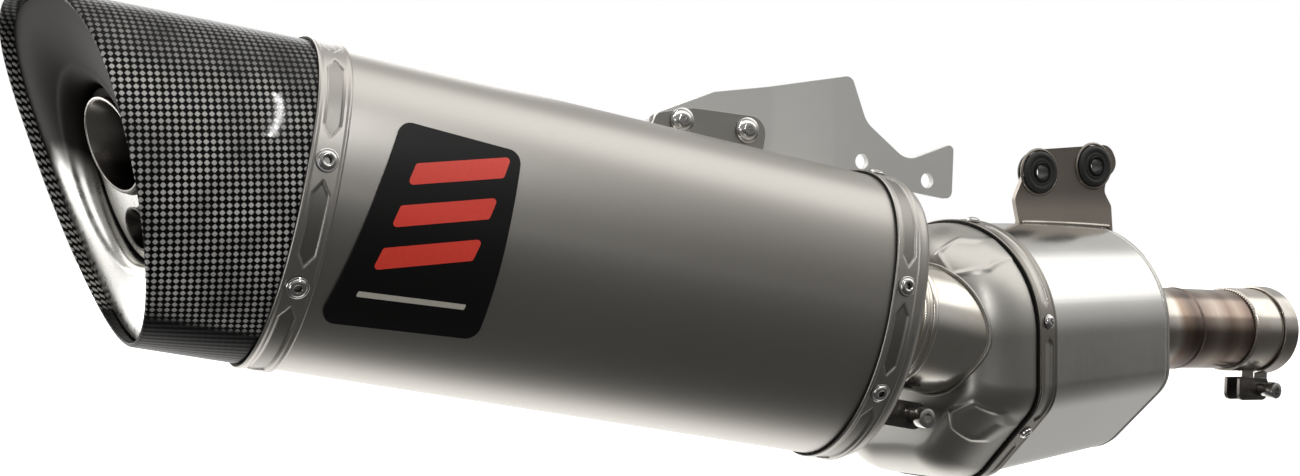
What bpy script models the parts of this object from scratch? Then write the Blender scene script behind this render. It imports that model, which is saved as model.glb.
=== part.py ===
"""Motorcycle slip-on silencer with a mid chamber, built from its separate pieces.

Frame: +X towards the front of the motorcycle, +Y towards its centre line, +Z up.
The origin is on the inner face of the frame bracket, midway between its two grommets.
Dimensions below are in millimetres and are turned into metres where a mesh is made.
"""

import math

import bmesh
import bpy
from mathutils import Euler, Matrix, Vector

MM = 0.001
GAP = 0.3

# Muffler frame: local +X forward along the muffler, +Y inboard, +Z up across it.
MUFFLER_ORIGIN = (-491.1, -42.5, -24.2)
MUFFLER_PITCH = 10.8
MUFFLER_HALF_WIDTH = 56.0
MUFFLER_TOP = 66.0
TOP_GROWTH = 0.0085
MUFFLER_BOTTOM = 79.0
MUFFLER_WAIST_Z = 6.0
TOP_ROUNDNESS = 2.7
BOTTOM_ROUNDNESS = 2.0
SECTION_STEPS = 32
SHEET = 1.2

SLEEVE_START = 1.0
SLEEVE_END = 311.0
BAND_WIDTH = 15.0
BAND_SHEET = 1.2
FRONT_BAND_START = 299.0
RIVET_HEAD_RADIUS = 5.0
RIVET_SHANK_RADIUS = 2.1
OUTLET_RIVET_X = 7.5
FRONT_RIVET_X = 306.5
RIVET_HEIGHTS = (17.0, -36.0)
OUTLET_CROWN_RIVET_Y = 9.0
FRONT_CROWN_RIVET_Y = -15.0

# Outlet: the end cap is cut on a slanted, slightly twisted surface.
RIM_REACH = 79.5
RIM_RAKE = 0.49
RIM_CURVE = 0.0004
RIM_SKEW = 0.206
RIM_TWIST = 0.0012
CAP_WALL = 2.0
CAP_TAPER_LENGTH = 110.0
CAP_TAPER_SIDE = 2.5
CAP_TAPER_TOP = 4.0
MOUTH_REACH = 69.0
MOUTH_RAKE = 0.50
MOUTH_SKEW = 0.35
MOUTH_CENTRE = (1.0, -1.5)
MOUTH_HALF = (25.5, 37.5)
MOUTH_SKIRT = 1.6
DISH_DEPTH = 9.0
DISH_ROLL = ((0.0, -4.4), (0.9, -1.3), (3.2, 0.9), (6.2, MOUTH_SKIRT), (13.0, MOUTH_SKIRT))
DISH_SHEET = 1.0
LARGE_OUTLET = (3.0, 10.0, 19.0, 17.6)
SMALL_OUTLET = (1.0, -23.0, 9.0, 7.8)
OUTLET_TUBE_DEPTH = 6.5
OUTLET_TUBE_END = 70.0
BULKHEAD_X = 24.0
MID_BAFFLE_X = 90.0

# Slip joint between the muffler and the link pipe.
JOINT_Z = 2.5
LINK_RADIUS = 34.0
LINK_BORE = 32.6
LINK_START = 308.0
LINK_END = 388.0
INLET_SLEEVE_BORE = 34.4
INLET_SLEEVE_RADIUS = 35.6
INLET_SLEEVE_START = 300.0
INLET_SLEEVE_END = 334.5
CORE_RADIUS = 27.0
CORE_BORE = 25.8
ROUND_STEPS = 28

# Chamber frame: local +X forward along the chamber, from the seam of its rear cap.
CHAMBER_ORIGIN = (-101.0, -20.0, -102.0)
CHAMBER_YAW = 13.6
CHAMBER_HALF_WIDTH = 60.5
CHAMBER_TOP = 69.5
CHAMBER_BOTTOM = -72.5
LOWER_CORNER_Z = -27.0
LOWER_CORNER_Y = -18.0
CHAMBER_LENGTH = 132.0
CHAMBER_WAIST_Z = 9.0
CHAMBER_RISE = 0.10
REAR_CAP_DEPTH = 36.0
REAR_EDGE_INSET = 22.0
CHAMBER_BAND_START = 1.0
CHAMBER_BAND_WIDTH = 15.0
CHAMBER_SCREW_X = 8.5
CHAMBER_SCREW_Z = 16.0
CROWN_SCREW_LEAN = -10.5
CHAMBER_SCREW_DROP = 22.0
BOTTOM_SCREW_Y = 12.0

# Inlet frame: local +X forward along the inlet pipe, from the face of the front cap.
INLET_CENTRE = (132.0, -10.0, 7.5)
INLET_YAW = 6.0
INLET_PITCH = 2.5
INLET_RADIUS = 25.0
INLET_BORE = 23.6
INLET_LENGTH = 142.0
COLLAR_START = 116.0
COLLAR_END = 155.0
COLLAR_RADIUS = 26.7
COLLAR_BORE = 25.3

# Both clamps: sheet, gap between the ears, cross screw and barrel nut.
CLAMP_SHEET = 1.4
CLAMP_EAR = 12.0
CLAMP_OPENING = 8.0
CLAMP_SCREW = 3.0
CLAMP_NUT = 13.0
MUFFLER_CLAMP_X = 329.0
MUFFLER_CLAMP_WIDTH = 12.0
MUFFLER_CLAMP_SCREW_X = 361.0
MUFFLER_CLAMP_LUG = (322.5, 367.5)
INLET_CLAMP_X = 148.0
INLET_CLAMP_WIDTH = 13.0
INLET_CLAMP_SCREW_X = 147.0
INLET_CLAMP_LUG = (126.0, 155.0)

# Hanger plate and frame bracket, outlines in the muffler's and bracket's own planes.
GROMMET_CENTRES = ((-20.8, -2.2), (20.8, 2.2))
GROMMET_RADIUS = 12.3
GROMMET_NECK = 9.7
GROMMET_BORE = 6.3
SPACER_RADIUS = 6.0
SPACER_BORE = 4.3
BRACKET_SHEET = 3.0
HANGER_SHEET = 4.0
HANGER_SCREWS = ((200.5, 81.0), (238.5, 84.5))
HANGER_HOLES = ((-158.6, 0.6), (-114.9, -9.1))
HANGER_HOLE_RADIUS = 4.2
HANGER_SCREW_HOLE = 3.3
HANGER_STEP = (-224.0, -176.0)
HANGER_REAR_Y = -33.2
HANGER_FRONT_Y = -20.2
HANGER_OUTLINE = (
    (-304.0, 17.0, 3.0), (-262.0, 9.0, 8.0), (-176.0, -7.5, 20.0), (-98.0, -19.5, 4.0),
    (-96.5, 12.0, 3.0), (-128.5, 1.5, 14.0), (-155.5, 22.0, 16.0), (-165.0, 47.0, 5.0),
    (-225.0, 37.5, 20.0), (-258.0, 33.5, 8.0),
)
TAB_Y = 6.0
TAB_SHEET = 3.0
TAB_SPAN = (184.0, 250.0)
TAB_TOP = ((250.0, 93.5, 9.0), (206.0, 89.0, 12.0), (186.0, 82.0, 4.0))
BRACKET_OUTLINE = (
    (-37.0, -40.0, 0), (33.0, -40.0, 0), (34.5, -22.0, 5.0), (29.5, -13.0, 6.0),
    (31.0, -6.0, 6.0), (40.5, 3.0, 8.0), (34.0, 15.5, 9.0), (-24.0, 11.0, 8.0),
    (-32.0, -4.0, 10.0), (-39.0, -18.0, 6.0),
)
BRACKET_BEND = (-13.0, -25.0)
BRACKET_LEAN = 10.0
BRACKET_MIDDLE = 4.5
BRACKET_LAND_EDGE = 6.0
BRACKET_LAND = 0.05

# Badge on the outboard flank, in the muffler's own x and z.
BADGE_OUTLINE = ((20.0, -49.0, 6.0), (92.0, -45.0, 6.0), (94.0, 39.0, 6.0), (37.5, 41.0, 6.0))
BADGE_SHEET = 0.6


def clear_scene():
    for item in list(bpy.data.objects):
        bpy.data.objects.remove(item, do_unlink=True)


def make_material(name, colour, roughness, metallic):
    material = bpy.data.materials.new(name)
    material.use_nodes = True
    shader = material.node_tree.nodes["Principled BSDF"]
    shader.inputs["Base Color"].default_value = (*colour, 1.0)
    shader.inputs["Roughness"].default_value = roughness
    shader.inputs["Metallic"].default_value = metallic
    return material


def make_frame(name, location, rotation_degrees, parent=None):
    frame = bpy.data.objects.new(name, None)
    frame.location = Vector(location) * MM
    frame.rotation_euler = Euler([math.radians(a) for a in rotation_degrees])
    frame.parent = parent
    bpy.context.collection.objects.link(frame)
    return frame


def make_object(name, mesh_data, frame, material, location=(0, 0, 0), rotation=None):
    """Link a bmesh given in millimetres as one object in a frame."""
    bmesh.ops.scale(mesh_data, vec=(MM, MM, MM), verts=mesh_data.verts)
    mesh = bpy.data.meshes.new(name)
    mesh_data.to_mesh(mesh)
    mesh_data.free()
    mesh.shade_smooth()
    mesh.set_sharp_from_angle(angle=math.radians(35))
    mesh.materials.append(material)
    item = bpy.data.objects.new(name, mesh)
    item.location = Vector(location) * MM
    if rotation is not None:
        item.rotation_euler = rotation
    item.parent = frame
    bpy.context.collection.objects.link(item)
    return item


def loft(rings, wrap=True):
    """Skin a list of equal rings; wrap joins the last ring to the first."""
    body = bmesh.new()
    count = len(rings[0])
    verts = [[body.verts.new(point) for point in ring] for ring in rings]
    pairs = list(zip(verts, verts[1:]))
    if wrap:
        pairs.append((verts[-1], verts[0]))
    for ring_a, ring_b in pairs:
        for i in range(count):
            j = (i + 1) % count
            body.faces.new((ring_a[i], ring_a[j], ring_b[j], ring_b[i]))
    if not wrap:
        body.faces.new(list(reversed(verts[0])))
        body.faces.new(verts[-1])
    bmesh.ops.recalc_face_normals(body, faces=body.faces)
    return body


def circle(x, radius, y=0.0, z=0.0, steps=ROUND_STEPS):
    angles = (2 * math.pi * i / steps for i in range(steps))
    return [(x, y + radius * math.sin(a), z + radius * math.cos(a)) for a in angles]


def turned(profile, y=0.0, z=0.0, steps=ROUND_STEPS, wrap=True):
    """Turn a profile of (x, radius) pairs around the line through (y, z) along X."""
    return loft([circle(x, radius, y, z, steps) for x, radius in profile], wrap)


def tube(start, end, radius, bore, y=0.0, z=0.0, steps=ROUND_STEPS):
    profile = [(start, radius), (end, radius), (end, bore), (start, bore)]
    return turned(profile, y, z, steps)


def arc_corner(before, corner, after, radius, steps):
    """Points of a round corner between two straight edges."""
    to_before = (before - corner).normalized()
    to_after = (after - corner).normalized()
    half = to_before.angle(to_after) / 2
    reach = radius / math.tan(half)
    start = corner + to_before * reach
    centre = corner + (to_before + to_after).normalized() * radius / math.sin(half)
    sweep = (math.pi - 2 * half)
    turn = 1 if to_before.cross(to_after) < 0 else -1
    spoke = start - centre
    points = []
    for i in range(steps + 1):
        points.append(centre + Matrix.Rotation(turn * sweep * i / steps, 2) @ spoke)
    return points


def rounded_outline(corners, steps=3):
    """Closed outline from (x, y, radius) corners; radius 0 keeps a sharp point."""
    points = []
    count = len(corners)
    for i, (x, y, radius) in enumerate(corners):
        corner = Vector((x, y))
        before = Vector(corners[i - 1][:2])
        after = Vector(corners[(i + 1) % count][:2])
        if radius == 0:
            points.append(corner)
        else:
            points.extend(arc_corner(before, corner, after, radius, steps))
    return points


def prism(outline, depth, place):
    """Extrude an outline; place(u, v, w) gives the point at depth w."""
    near = [place(p[0], p[1], 0.0) for p in outline]
    far = [place(p[0], p[1], depth) for p in outline]
    return loft([near, far], wrap=False)


def sheet_object(name, outline, cuts, bend, thickness, frame, material, cross_cuts=()):
    """Cut an outline across v and u at the given values, bend it, and give it thickness."""
    sheet = bmesh.new()
    verts = [sheet.verts.new((p[0], p[1], 0.0)) for p in outline]
    sheet.faces.new(verts)
    planes = [((0, value, 0), (0, 1, 0)) for value in cuts]
    planes += [((value, 0, 0), (1, 0, 0)) for value in cross_cuts]
    for place, normal in planes:
        parts = list(sheet.verts) + list(sheet.edges) + list(sheet.faces)
        bmesh.ops.bisect_plane(sheet, geom=parts, dist=0.001, plane_co=place, plane_no=normal)
    for vert in sheet.verts:
        vert.co = Vector(bend(vert.co.x, vert.co.y))
    item = make_object(name, sheet, frame, material)
    solid = item.modifiers.new("thickness", "SOLIDIFY")
    solid.thickness = thickness * MM
    solid.offset = -1
    return item


def add_cutter(name, mesh_data, frame, material, targets, location=(0, 0, 0), rotation=None):
    cutter = make_object(name, mesh_data, frame, material, location, rotation)
    cutter.hide_render = True
    cutter.display_type = "WIRE"
    for target in targets:
        cut = target.modifiers.new(name, "BOOLEAN")
        cut.operation = "DIFFERENCE"
        cut.solver = "EXACT"
        cut.object = cutter
    return cutter


def top_height(x):
    """Height of the crown above the waist; the sleeve grows slightly towards its front."""
    return MUFFLER_TOP + TOP_GROWTH * x


def muffler_section(x, inset=0.0, side=0.0, top=0.0):
    """Ring of the muffler's form at x, moved in by inset, and by side and top for the taper."""
    half = MUFFLER_HALF_WIDTH - inset - side
    ring = []
    for i in range(SECTION_STEPS):
        angle = 2 * math.pi * i / SECTION_STEPS
        sine = math.sin(angle)
        cosine = math.cos(angle)
        if cosine >= 0:
            power = 2 / TOP_ROUNDNESS
            height = top_height(x) - inset - top
        else:
            power = 2 / BOTTOM_ROUNDNESS
            height = MUFFLER_BOTTOM - inset
        y = half * math.copysign(abs(sine) ** power, sine)
        z = MUFFLER_WAIST_Z + height * math.copysign(abs(cosine) ** power, cosine)
        ring.append((x, y, z))
    return ring


def section_side(x, z, inset=0.0):
    """Half width at x and height z of the muffler's form moved in by inset."""
    if z >= MUFFLER_WAIST_Z:
        share = (z - MUFFLER_WAIST_Z) / (top_height(x) - inset)
        power = TOP_ROUNDNESS
    else:
        share = (MUFFLER_WAIST_Z - z) / (MUFFLER_BOTTOM - inset)
        power = BOTTOM_ROUNDNESS
    return (MUFFLER_HALF_WIDTH - inset) * (1 - share ** power) ** (1 / power)


def rim_x(y, z):
    return -(RIM_REACH + RIM_RAKE * z + RIM_CURVE * z * z + (RIM_SKEW + RIM_TWIST * z) * y)


def mouth_x(y, z, depth=0.0):
    return -(MOUTH_REACH + MOUTH_RAKE * z + MOUTH_SKEW * y) + depth


def cap_ring(share, inset, back=0.0):
    """Ring of the end cap between its seam (share 0) and its slanted rim (share 1)."""
    ring = []
    seed = muffler_section(0.0, inset, CAP_TAPER_SIDE, CAP_TAPER_TOP)
    for i, (_, y, z) in enumerate(seed):
        x = (rim_x(y, z) + back) * share
        taper = -x / CAP_TAPER_LENGTH
        section = muffler_section(x, inset, CAP_TAPER_SIDE * taper, CAP_TAPER_TOP * taper)
        ring.append(section[i])
    return ring


def make_end_cap(frame, material):
    step = SHEET + GAP
    rings = [cap_ring(share, 0.0) for share in (1.0, 0.66, 0.33)]
    rings.append(muffler_section(SLEEVE_START - GAP))
    rings.append(muffler_section(SLEEVE_START - GAP, step))
    rings.append(muffler_section(13.0, step))
    rings.append(muffler_section(13.0, step + CAP_WALL))
    rings.append(muffler_section(-2.0, step + CAP_WALL))
    rings.extend(cap_ring(share, CAP_WALL) for share in (0.33, 0.66, 1.0))
    return make_object("carbon_end_cap", loft(rings), frame, material)


def mouth_ring(depth, inset):
    ring = []
    for i in range(SECTION_STEPS):
        angle = 2 * math.pi * i / SECTION_STEPS
        sine = math.sin(angle)
        cosine = math.cos(angle)
        y = MOUTH_CENTRE[0] + (MOUTH_HALF[0] - inset) * math.copysign(abs(sine) ** 0.9, sine)
        z = MOUTH_CENTRE[1] + (MOUTH_HALF[1] - inset) * math.copysign(abs(cosine) ** 0.9, cosine)
        ring.append((mouth_x(y, z, depth), y, z))
    return ring


def make_outlet_dish(frame, material):
    """Sheet that closes the cap inside its rim and rolls over into the mouth."""
    outer_inset = CAP_WALL + GAP
    outer = cap_ring(1.0, outer_inset, back=DISH_DEPTH)
    flange = cap_ring(1.0, outer_inset, back=DISH_DEPTH + 8.0)
    lip = mouth_ring(*DISH_ROLL[0])
    shares = ((0.12, 0.03), (0.4, 0.2), (0.75, 0.6))
    rings = [flange, outer]
    for across, inward in shares:
        ring = []
        for a, b in zip(outer, lip):
            x = a[0] + (b[0] - a[0]) * inward
            y = a[1] + (b[1] - a[1]) * across
            z = a[2] + (b[2] - a[2]) * across
            ring.append((x, y, z))
        rings.append(ring)
    rings.extend(mouth_ring(depth, inset) for depth, inset in DISH_ROLL)
    body = bmesh.new()
    verts = [[body.verts.new(point) for point in ring] for ring in rings]
    for ring_a, ring_b in zip(verts, verts[1:]):
        for i in range(SECTION_STEPS):
            j = (i + 1) % SECTION_STEPS
            body.faces.new((ring_a[i], ring_a[j], ring_b[j], ring_b[i]))
    item = make_object("outlet_dish", body, frame, material)
    solid = item.modifiers.new("thickness", "SOLIDIFY")
    solid.thickness = DISH_SHEET * MM
    solid.offset = -1


def make_outlet_plate(frame, material, dark):
    """Plate across the mouth, with a hole for each outlet tube."""
    inset = MOUTH_SKIRT + DISH_SHEET + GAP
    plate = loft([mouth_ring(9.5, inset), mouth_ring(11.0, inset)], wrap=False)
    item = make_object("outlet_plate", plate, frame, material)
    for name, (y, z, radius, _) in (("large", LARGE_OUTLET), ("small", SMALL_OUTLET)):
        drill = turned([(-110, radius + GAP), (0, radius + GAP)], y, z, wrap=False)
        add_cutter(f"cut_plate_{name}", drill, frame, dark, [item])


def make_outlet_tube(name, spec, frame, material):
    """Tube whose mouth is cut parallel to the outlet's mouth."""
    y, z, radius, bore = spec
    steps = ROUND_STEPS if radius > 10 else 20

    def mouth(size, depth):
        ring = circle(0.0, size, y, z, steps)
        return [(mouth_x(py, pz, depth), py, pz) for _, py, pz in ring]

    rings = [mouth(radius, OUTLET_TUBE_DEPTH), circle(OUTLET_TUBE_END, radius, y, z, steps)]
    rings += [circle(OUTLET_TUBE_END, bore, y, z, steps), mouth(bore, OUTLET_TUBE_DEPTH)]
    return make_object(name, loft(rings), frame, material)


def make_sleeve(frame, material):
    rings = [muffler_section(SLEEVE_START), muffler_section(SLEEVE_END)]
    rings += [muffler_section(SLEEVE_END, SHEET), muffler_section(SLEEVE_START, SHEET)]
    return make_object("muffler_sleeve", loft(rings), frame, material)


def make_band(name, start, frame, material):
    inner = -GAP
    outer = -GAP - BAND_SHEET
    end = start + BAND_WIDTH
    rings = [muffler_section(start, inner), muffler_section(start, outer + 0.4)]
    rings += [muffler_section(start + 0.6, outer), muffler_section(end - 0.6, outer)]
    rings += [muffler_section(end, outer + 0.4), muffler_section(end, inner)]
    return make_object(name, loft(rings), frame, material)


def section_top(x, y):
    """Height of the muffler's crown at x and sideways place y."""
    share = abs(y) / MUFFLER_HALF_WIDTH
    height = top_height(x) * (1 - share ** TOP_ROUNDNESS) ** (1 / TOP_ROUNDNESS)
    return MUFFLER_WAIST_Z + height


def rivet_places(x, crown_y):
    """(y, z, lean) of each rivet around the section at x; lean is measured from +Z."""
    slope = section_top(x, crown_y + 0.5) - section_top(x, crown_y - 0.5)
    places = [(crown_y, section_top(x, crown_y), math.atan2(-slope, 1.0))]
    for side in (-1, 1):
        for z in RIVET_HEIGHTS:
            y = section_side(x, z)
            slope = section_side(x, z + 0.5) - section_side(x, z - 0.5)
            lean = math.atan2(1.0, -slope)
            places.append((side * y, z, side * lean))
    return places


def rivet_mesh(stand, reach):
    """Rivet along +Z with its head standing above the band and its shank below."""
    profile = [
        (-reach, RIVET_SHANK_RADIUS),
        (stand, RIVET_SHANK_RADIUS),
        (stand, RIVET_HEAD_RADIUS),
        (stand + 0.9, RIVET_HEAD_RADIUS - 0.4),
        (stand + 1.7, RIVET_HEAD_RADIUS - 1.8),
    ]
    rivet = turned(profile, steps=12, wrap=False)
    bmesh.ops.rotate(rivet, matrix=Matrix.Rotation(-math.pi / 2, 3, "Y"), verts=rivet.verts)
    return rivet


def drill_mesh():
    drill = turned([(-8, RIVET_SHANK_RADIUS + GAP), (8, RIVET_SHANK_RADIUS + GAP)], steps=8, wrap=False)
    bmesh.ops.rotate(drill, matrix=Matrix.Rotation(-math.pi / 2, 3, "Y"), verts=drill.verts)
    return drill


def make_rivets(prefix, x, crown_y, targets, frame, material, dark):
    stand = 2 * GAP + BAND_SHEET
    for number, (y, z, lean) in enumerate(rivet_places(x, crown_y), start=1):
        turn = Euler((-lean, 0.0, 0.0))
        rivet = rivet_mesh(stand, 4.5)
        make_object(f"{prefix}_rivet_{number}", rivet, frame, material, (x, y, z), turn)
        add_cutter(f"cut_{prefix}_{number}", drill_mesh(), frame, dark, targets, (x, y, z), turn)


def blend_rings(ring_a, ring_b, share, x):
    return [
        (x, a[1] + (b[1] - a[1]) * share, a[2] + (b[2] - a[2]) * share)
        for a, b in zip(ring_a, ring_b)
    ]


def make_muffler_front_cap(frame, material):
    """Flanged cap with a rounded edge and a face dished towards its hub."""
    step = SHEET + GAP
    hole = circle(0.0, INLET_SLEEVE_RADIUS + GAP, 0.0, JOINT_Z, SECTION_STEPS)
    rim = muffler_section(0.0, 8.0)
    start = FRONT_BAND_START - 1.0
    rings = [muffler_section(start, step), muffler_section(SLEEVE_END + GAP, step)]
    rings += [muffler_section(SLEEVE_END + GAP), muffler_section(316.0)]
    rings += [muffler_section(321.0, 1.6), muffler_section(323.6, 5.0), muffler_section(324.0, 8.0)]
    rings += [blend_rings(rim, hole, 0.5, 321.0), blend_rings(rim, hole, 1.0, 317.5)]
    rings += [blend_rings(rim, hole, 1.0, 316.0), blend_rings(rim, hole, 0.5, 319.5)]
    rings += [muffler_section(322.2, 8.5), muffler_section(319.5, 3.4), muffler_section(314.0, step + 1.5)]
    rings.append(muffler_section(start, step + 1.5))
    return make_object("muffler_front_cap", loft(rings), frame, material)


def make_inlet_sleeve(frame, material, dark):
    """Slotted socket that grips the link pipe when its clamp is tightened."""
    body = tube(
        INLET_SLEEVE_START, INLET_SLEEVE_END, INLET_SLEEVE_RADIUS, INLET_SLEEVE_BORE, 0.0, JOINT_Z
    )
    item = make_object("muffler_inlet_sleeve", body, frame, material)
    for name, turn in (("slit_a", 45), ("slit_b", 135)):
        slit = box_mesh((321.0, -1.0, -40.0), (345.0, 1.0, 40.0))
        rotation = Euler((math.radians(turn), 0.0, 0.0))
        add_cutter(name, slit, frame, dark, [item], (0, 0, JOINT_Z), rotation)


def box_mesh(low, high):
    body = bmesh.new()
    bmesh.ops.create_cube(body, size=1.0)
    for vert in body.verts:
        vert.co = Vector([low[i] if vert.co[i] < 0 else high[i] for i in range(3)])
    return body


def perforated_tube(name, start, end, radius, bore, y, z, frame, material, dark):
    """Tube with rows of round perforations that cross it."""
    body = tube(start, end, radius, bore, y, z, 20)
    item = make_object(name, body, frame, material)
    drills = bmesh.new()
    rows = 3
    for row in range(rows):
        x = start + (end - start) * (row + 0.5) / rows
        for turn in (0, 90):
            shift = 10.0 if turn else 0.0
            drill = bmesh.ops.create_cone(
                drills, cap_ends=True, segments=8, radius1=3, radius2=3, depth=4 * radius
            )
            matrix = Matrix.Translation((x + shift, y, z)) @ Matrix.Rotation(
                math.radians(turn), 4, "X"
            )
            bmesh.ops.transform(drills, matrix=matrix, verts=drill["verts"])
    add_cutter(f"cut_{name}", drills, frame, dark, [item])


def section_plate(name, x, thickness, holes, frame, material, dark):
    """Bulkhead that fills the sleeve, with a hole for each tube."""
    inset = SHEET + GAP
    plate = loft([muffler_section(x, inset), muffler_section(x + thickness, inset)], wrap=False)
    item = make_object(name, plate, frame, material)
    for number, (y, z, radius) in enumerate(holes):
        drill = turned([(x - 9, radius + GAP), (x + 9, radius + GAP)], y, z, wrap=False)
        add_cutter(f"cut_{name}_{number}", drill, frame, dark, [item])


def make_muffler_inside(frame, metal, wool, dark):
    tubes = [LARGE_OUTLET[:3], SMALL_OUTLET[:3]]
    section_plate("outlet_bulkhead", BULKHEAD_X, 1.5, tubes, frame, metal, dark)
    core_hole = [(0.0, JOINT_Z, CORE_RADIUS)]
    section_plate("mid_baffle", MID_BAFFLE_X, 1.5, core_hole, frame, metal, dark)
    perforated_tube(
        "core_tube", MID_BAFFLE_X - 12, 296.0, CORE_RADIUS, CORE_BORE, 0.0, JOINT_Z, frame, metal, dark
    )
    bore = circle(0.0, CORE_RADIUS + 1.0, 0.0, JOINT_Z, SECTION_STEPS)
    rings = [muffler_section(MID_BAFFLE_X + 3, 3.0), muffler_section(292.0, 3.0)]
    rings += [blend_rings(bore, bore, 0.0, 292.0), blend_rings(bore, bore, 0.0, MID_BAFFLE_X + 3)]
    make_object("packing", loft(rings), frame, wool)


def make_badge(frame, material):
    """Thin plate that follows the outboard flank; its rear edge leans with the rim."""
    cuts = [-40, -32, -24, -16, -8, 0, 12, 24, 32]

    def bend(x, z):
        return (x, -section_side(x, z, -GAP), z)

    outline = rounded_outline(BADGE_OUTLINE)
    item = sheet_object("badge_plate", outline, cuts, bend, BADGE_SHEET, frame, material)
    item.modifiers["thickness"].offset = 1


def make_hanger_tab(frame, material, dark):
    """Upright tab that stands on the crown of the sleeve."""
    rear, front = TAB_SPAN
    crown = MUFFLER_WAIST_Z + top_height(front) + GAP
    outline = rounded_outline(((rear, crown, 0), (front, crown, 0)) + TAB_TOP)
    body = prism(outline, TAB_SHEET, lambda u, v, w: (u, TAB_Y + w, v))
    item = make_object("hanger_tab", body, frame, material)
    for number, (x, z) in enumerate(HANGER_SCREWS):
        drill = side_drill(x, z, HANGER_SCREW_HOLE, -5.0, 30.0)
        add_cutter(f"cut_tab_{number}", drill, frame, dark, [item])


def side_drill(x, z, radius, start, end, steps=12):
    """Cylinder along +Y through (x, z)."""
    angles = [2 * math.pi * i / steps for i in range(steps)]
    outline = [(x + radius * math.cos(a), z + radius * math.sin(a)) for a in angles]
    return prism(outline, end - start, lambda u, v, w: (u, start + w, v))


def make_hanger_plate(root, frame, material, dark):
    """Joggled plate: a rear leaf on the tab, a slanted step and a front leaf."""
    turned_outline = [(v, u) for u, v in rounded_outline(HANGER_OUTLINE)]
    step_start, step_end = HANGER_STEP

    def bend(z, x):
        share = min(1.0, max(0.0, (x - step_start) / (step_end - step_start)))
        return (x, HANGER_REAR_Y + (HANGER_FRONT_Y - HANGER_REAR_Y) * share, z)

    item = sheet_object(
        "hanger_plate", turned_outline, HANGER_STEP, bend, HANGER_SHEET, root, material
    )
    for number, (x, z) in enumerate(HANGER_HOLES):
        drill = side_drill(x, z, HANGER_HOLE_RADIUS, -60.0, 30.0, 16)
        add_cutter(f"cut_hanger_{number}", drill, root, dark, [item])
    for number, (x, z) in enumerate(HANGER_SCREWS):
        drill = side_drill(x, z, HANGER_SCREW_HOLE, -5.0, 30.0)
        add_cutter(f"cut_hanger_screw_{number}", drill, frame, dark, [item])


def make_hanger_fasteners(frame, material):
    """Flanged button screws from outboard, nuts behind the plate."""
    flange = 2.4
    profile = [(19.0, 3.0), (flange, 3.0), (flange, 6.1), (1.2, 6.1), (0.0, 4.6), (-0.9, 2.4)]
    nut_profile = [(0.0, 5.8), (5.0, 5.8), (5.0, 3.9), (0.0, 3.9)]
    head_y = TAB_Y - GAP - flange
    nut_y = TAB_Y + TAB_SHEET + HANGER_SHEET + 3 * GAP
    turn = Euler((0.0, 0.0, math.radians(90)))
    for number, (x, z) in enumerate(HANGER_SCREWS, start=1):
        screw = turned(profile, steps=16, wrap=False)
        make_object(f"hanger_screw_{number}", screw, frame, material, (x, head_y, z), turn)
        nut = turned(nut_profile, steps=6)
        make_object(f"hanger_nut_{number}", nut, frame, material, (x, nut_y, z), turn)


def chamber_outline(inset=0.0):
    """Section of the chamber: round crown, upright flanks, outboard lower corner cut off."""
    half = CHAMBER_HALF_WIDTH
    crown = half - 0.01
    corners = [
        (half, CHAMBER_TOP, crown),
        (half, CHAMBER_BOTTOM, 30.0),
        (LOWER_CORNER_Y, CHAMBER_BOTTOM, 26.0),
        (-half, LOWER_CORNER_Z, 24.0),
        (-half, CHAMBER_TOP, crown),
    ]
    steps = {0: 8, 1: 5, 4: 8}
    points = []
    count = len(corners)
    for i, (x, z, radius) in enumerate(corners):
        before = Vector(corners[i - 1][:2])
        after = Vector(corners[(i + 1) % count][:2])
        points.extend(arc_corner(before, Vector((x, z)), after, radius, steps.get(i, 3)))
    centre = Vector((0.0, 0.0))
    scaled = []
    for point in points:
        reach = (point - centre).length
        scaled.append(centre + (point - centre) * (reach - inset) / reach)
    return scaled


def chamber_ring(x, inset=0.0):
    return [(x, point.x, chamber_lift(x, point.y)) for point in chamber_outline(inset)]


def edge_inset(depth):
    """How far the rear cap's rounded edge has closed in at a depth behind its seam."""
    share = min(1.0, depth / REAR_CAP_DEPTH)
    return REAR_EDGE_INSET * (1 - math.sqrt(1 - share ** 2))


def chamber_lift(x, z):
    """Height of a point of the section at x; the lower half rises towards the front."""
    if z >= CHAMBER_WAIST_Z:
        return z
    return z + (CHAMBER_WAIST_Z - z) * CHAMBER_RISE * max(0.0, x) / CHAMBER_LENGTH


def make_chamber_shell(frame, material):
    front = CHAMBER_LENGTH - 8
    rings = [chamber_ring(0.4), chamber_ring(front), chamber_ring(front, SHEET)]
    rings.append(chamber_ring(0.4, SHEET))
    return make_object("chamber_shell", loft(rings), frame, material)


def cup_mesh(outside, inside):
    """Thin cup with a closed end: the last ring of each list bounds its end wall."""
    body = bmesh.new()
    chain = list(reversed(inside)) + outside
    loops = [[body.verts.new(point) for point in ring] for ring in chain]
    count = len(loops[0])
    for ring_a, ring_b in zip(loops, loops[1:]):
        for i in range(count):
            j = (i + 1) % count
            body.faces.new((ring_a[i], ring_a[j], ring_b[j], ring_b[i]))
    body.faces.new(loops[0])
    body.faces.new(loops[-1])
    bmesh.ops.recalc_face_normals(body, faces=body.faces)
    return body


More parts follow.
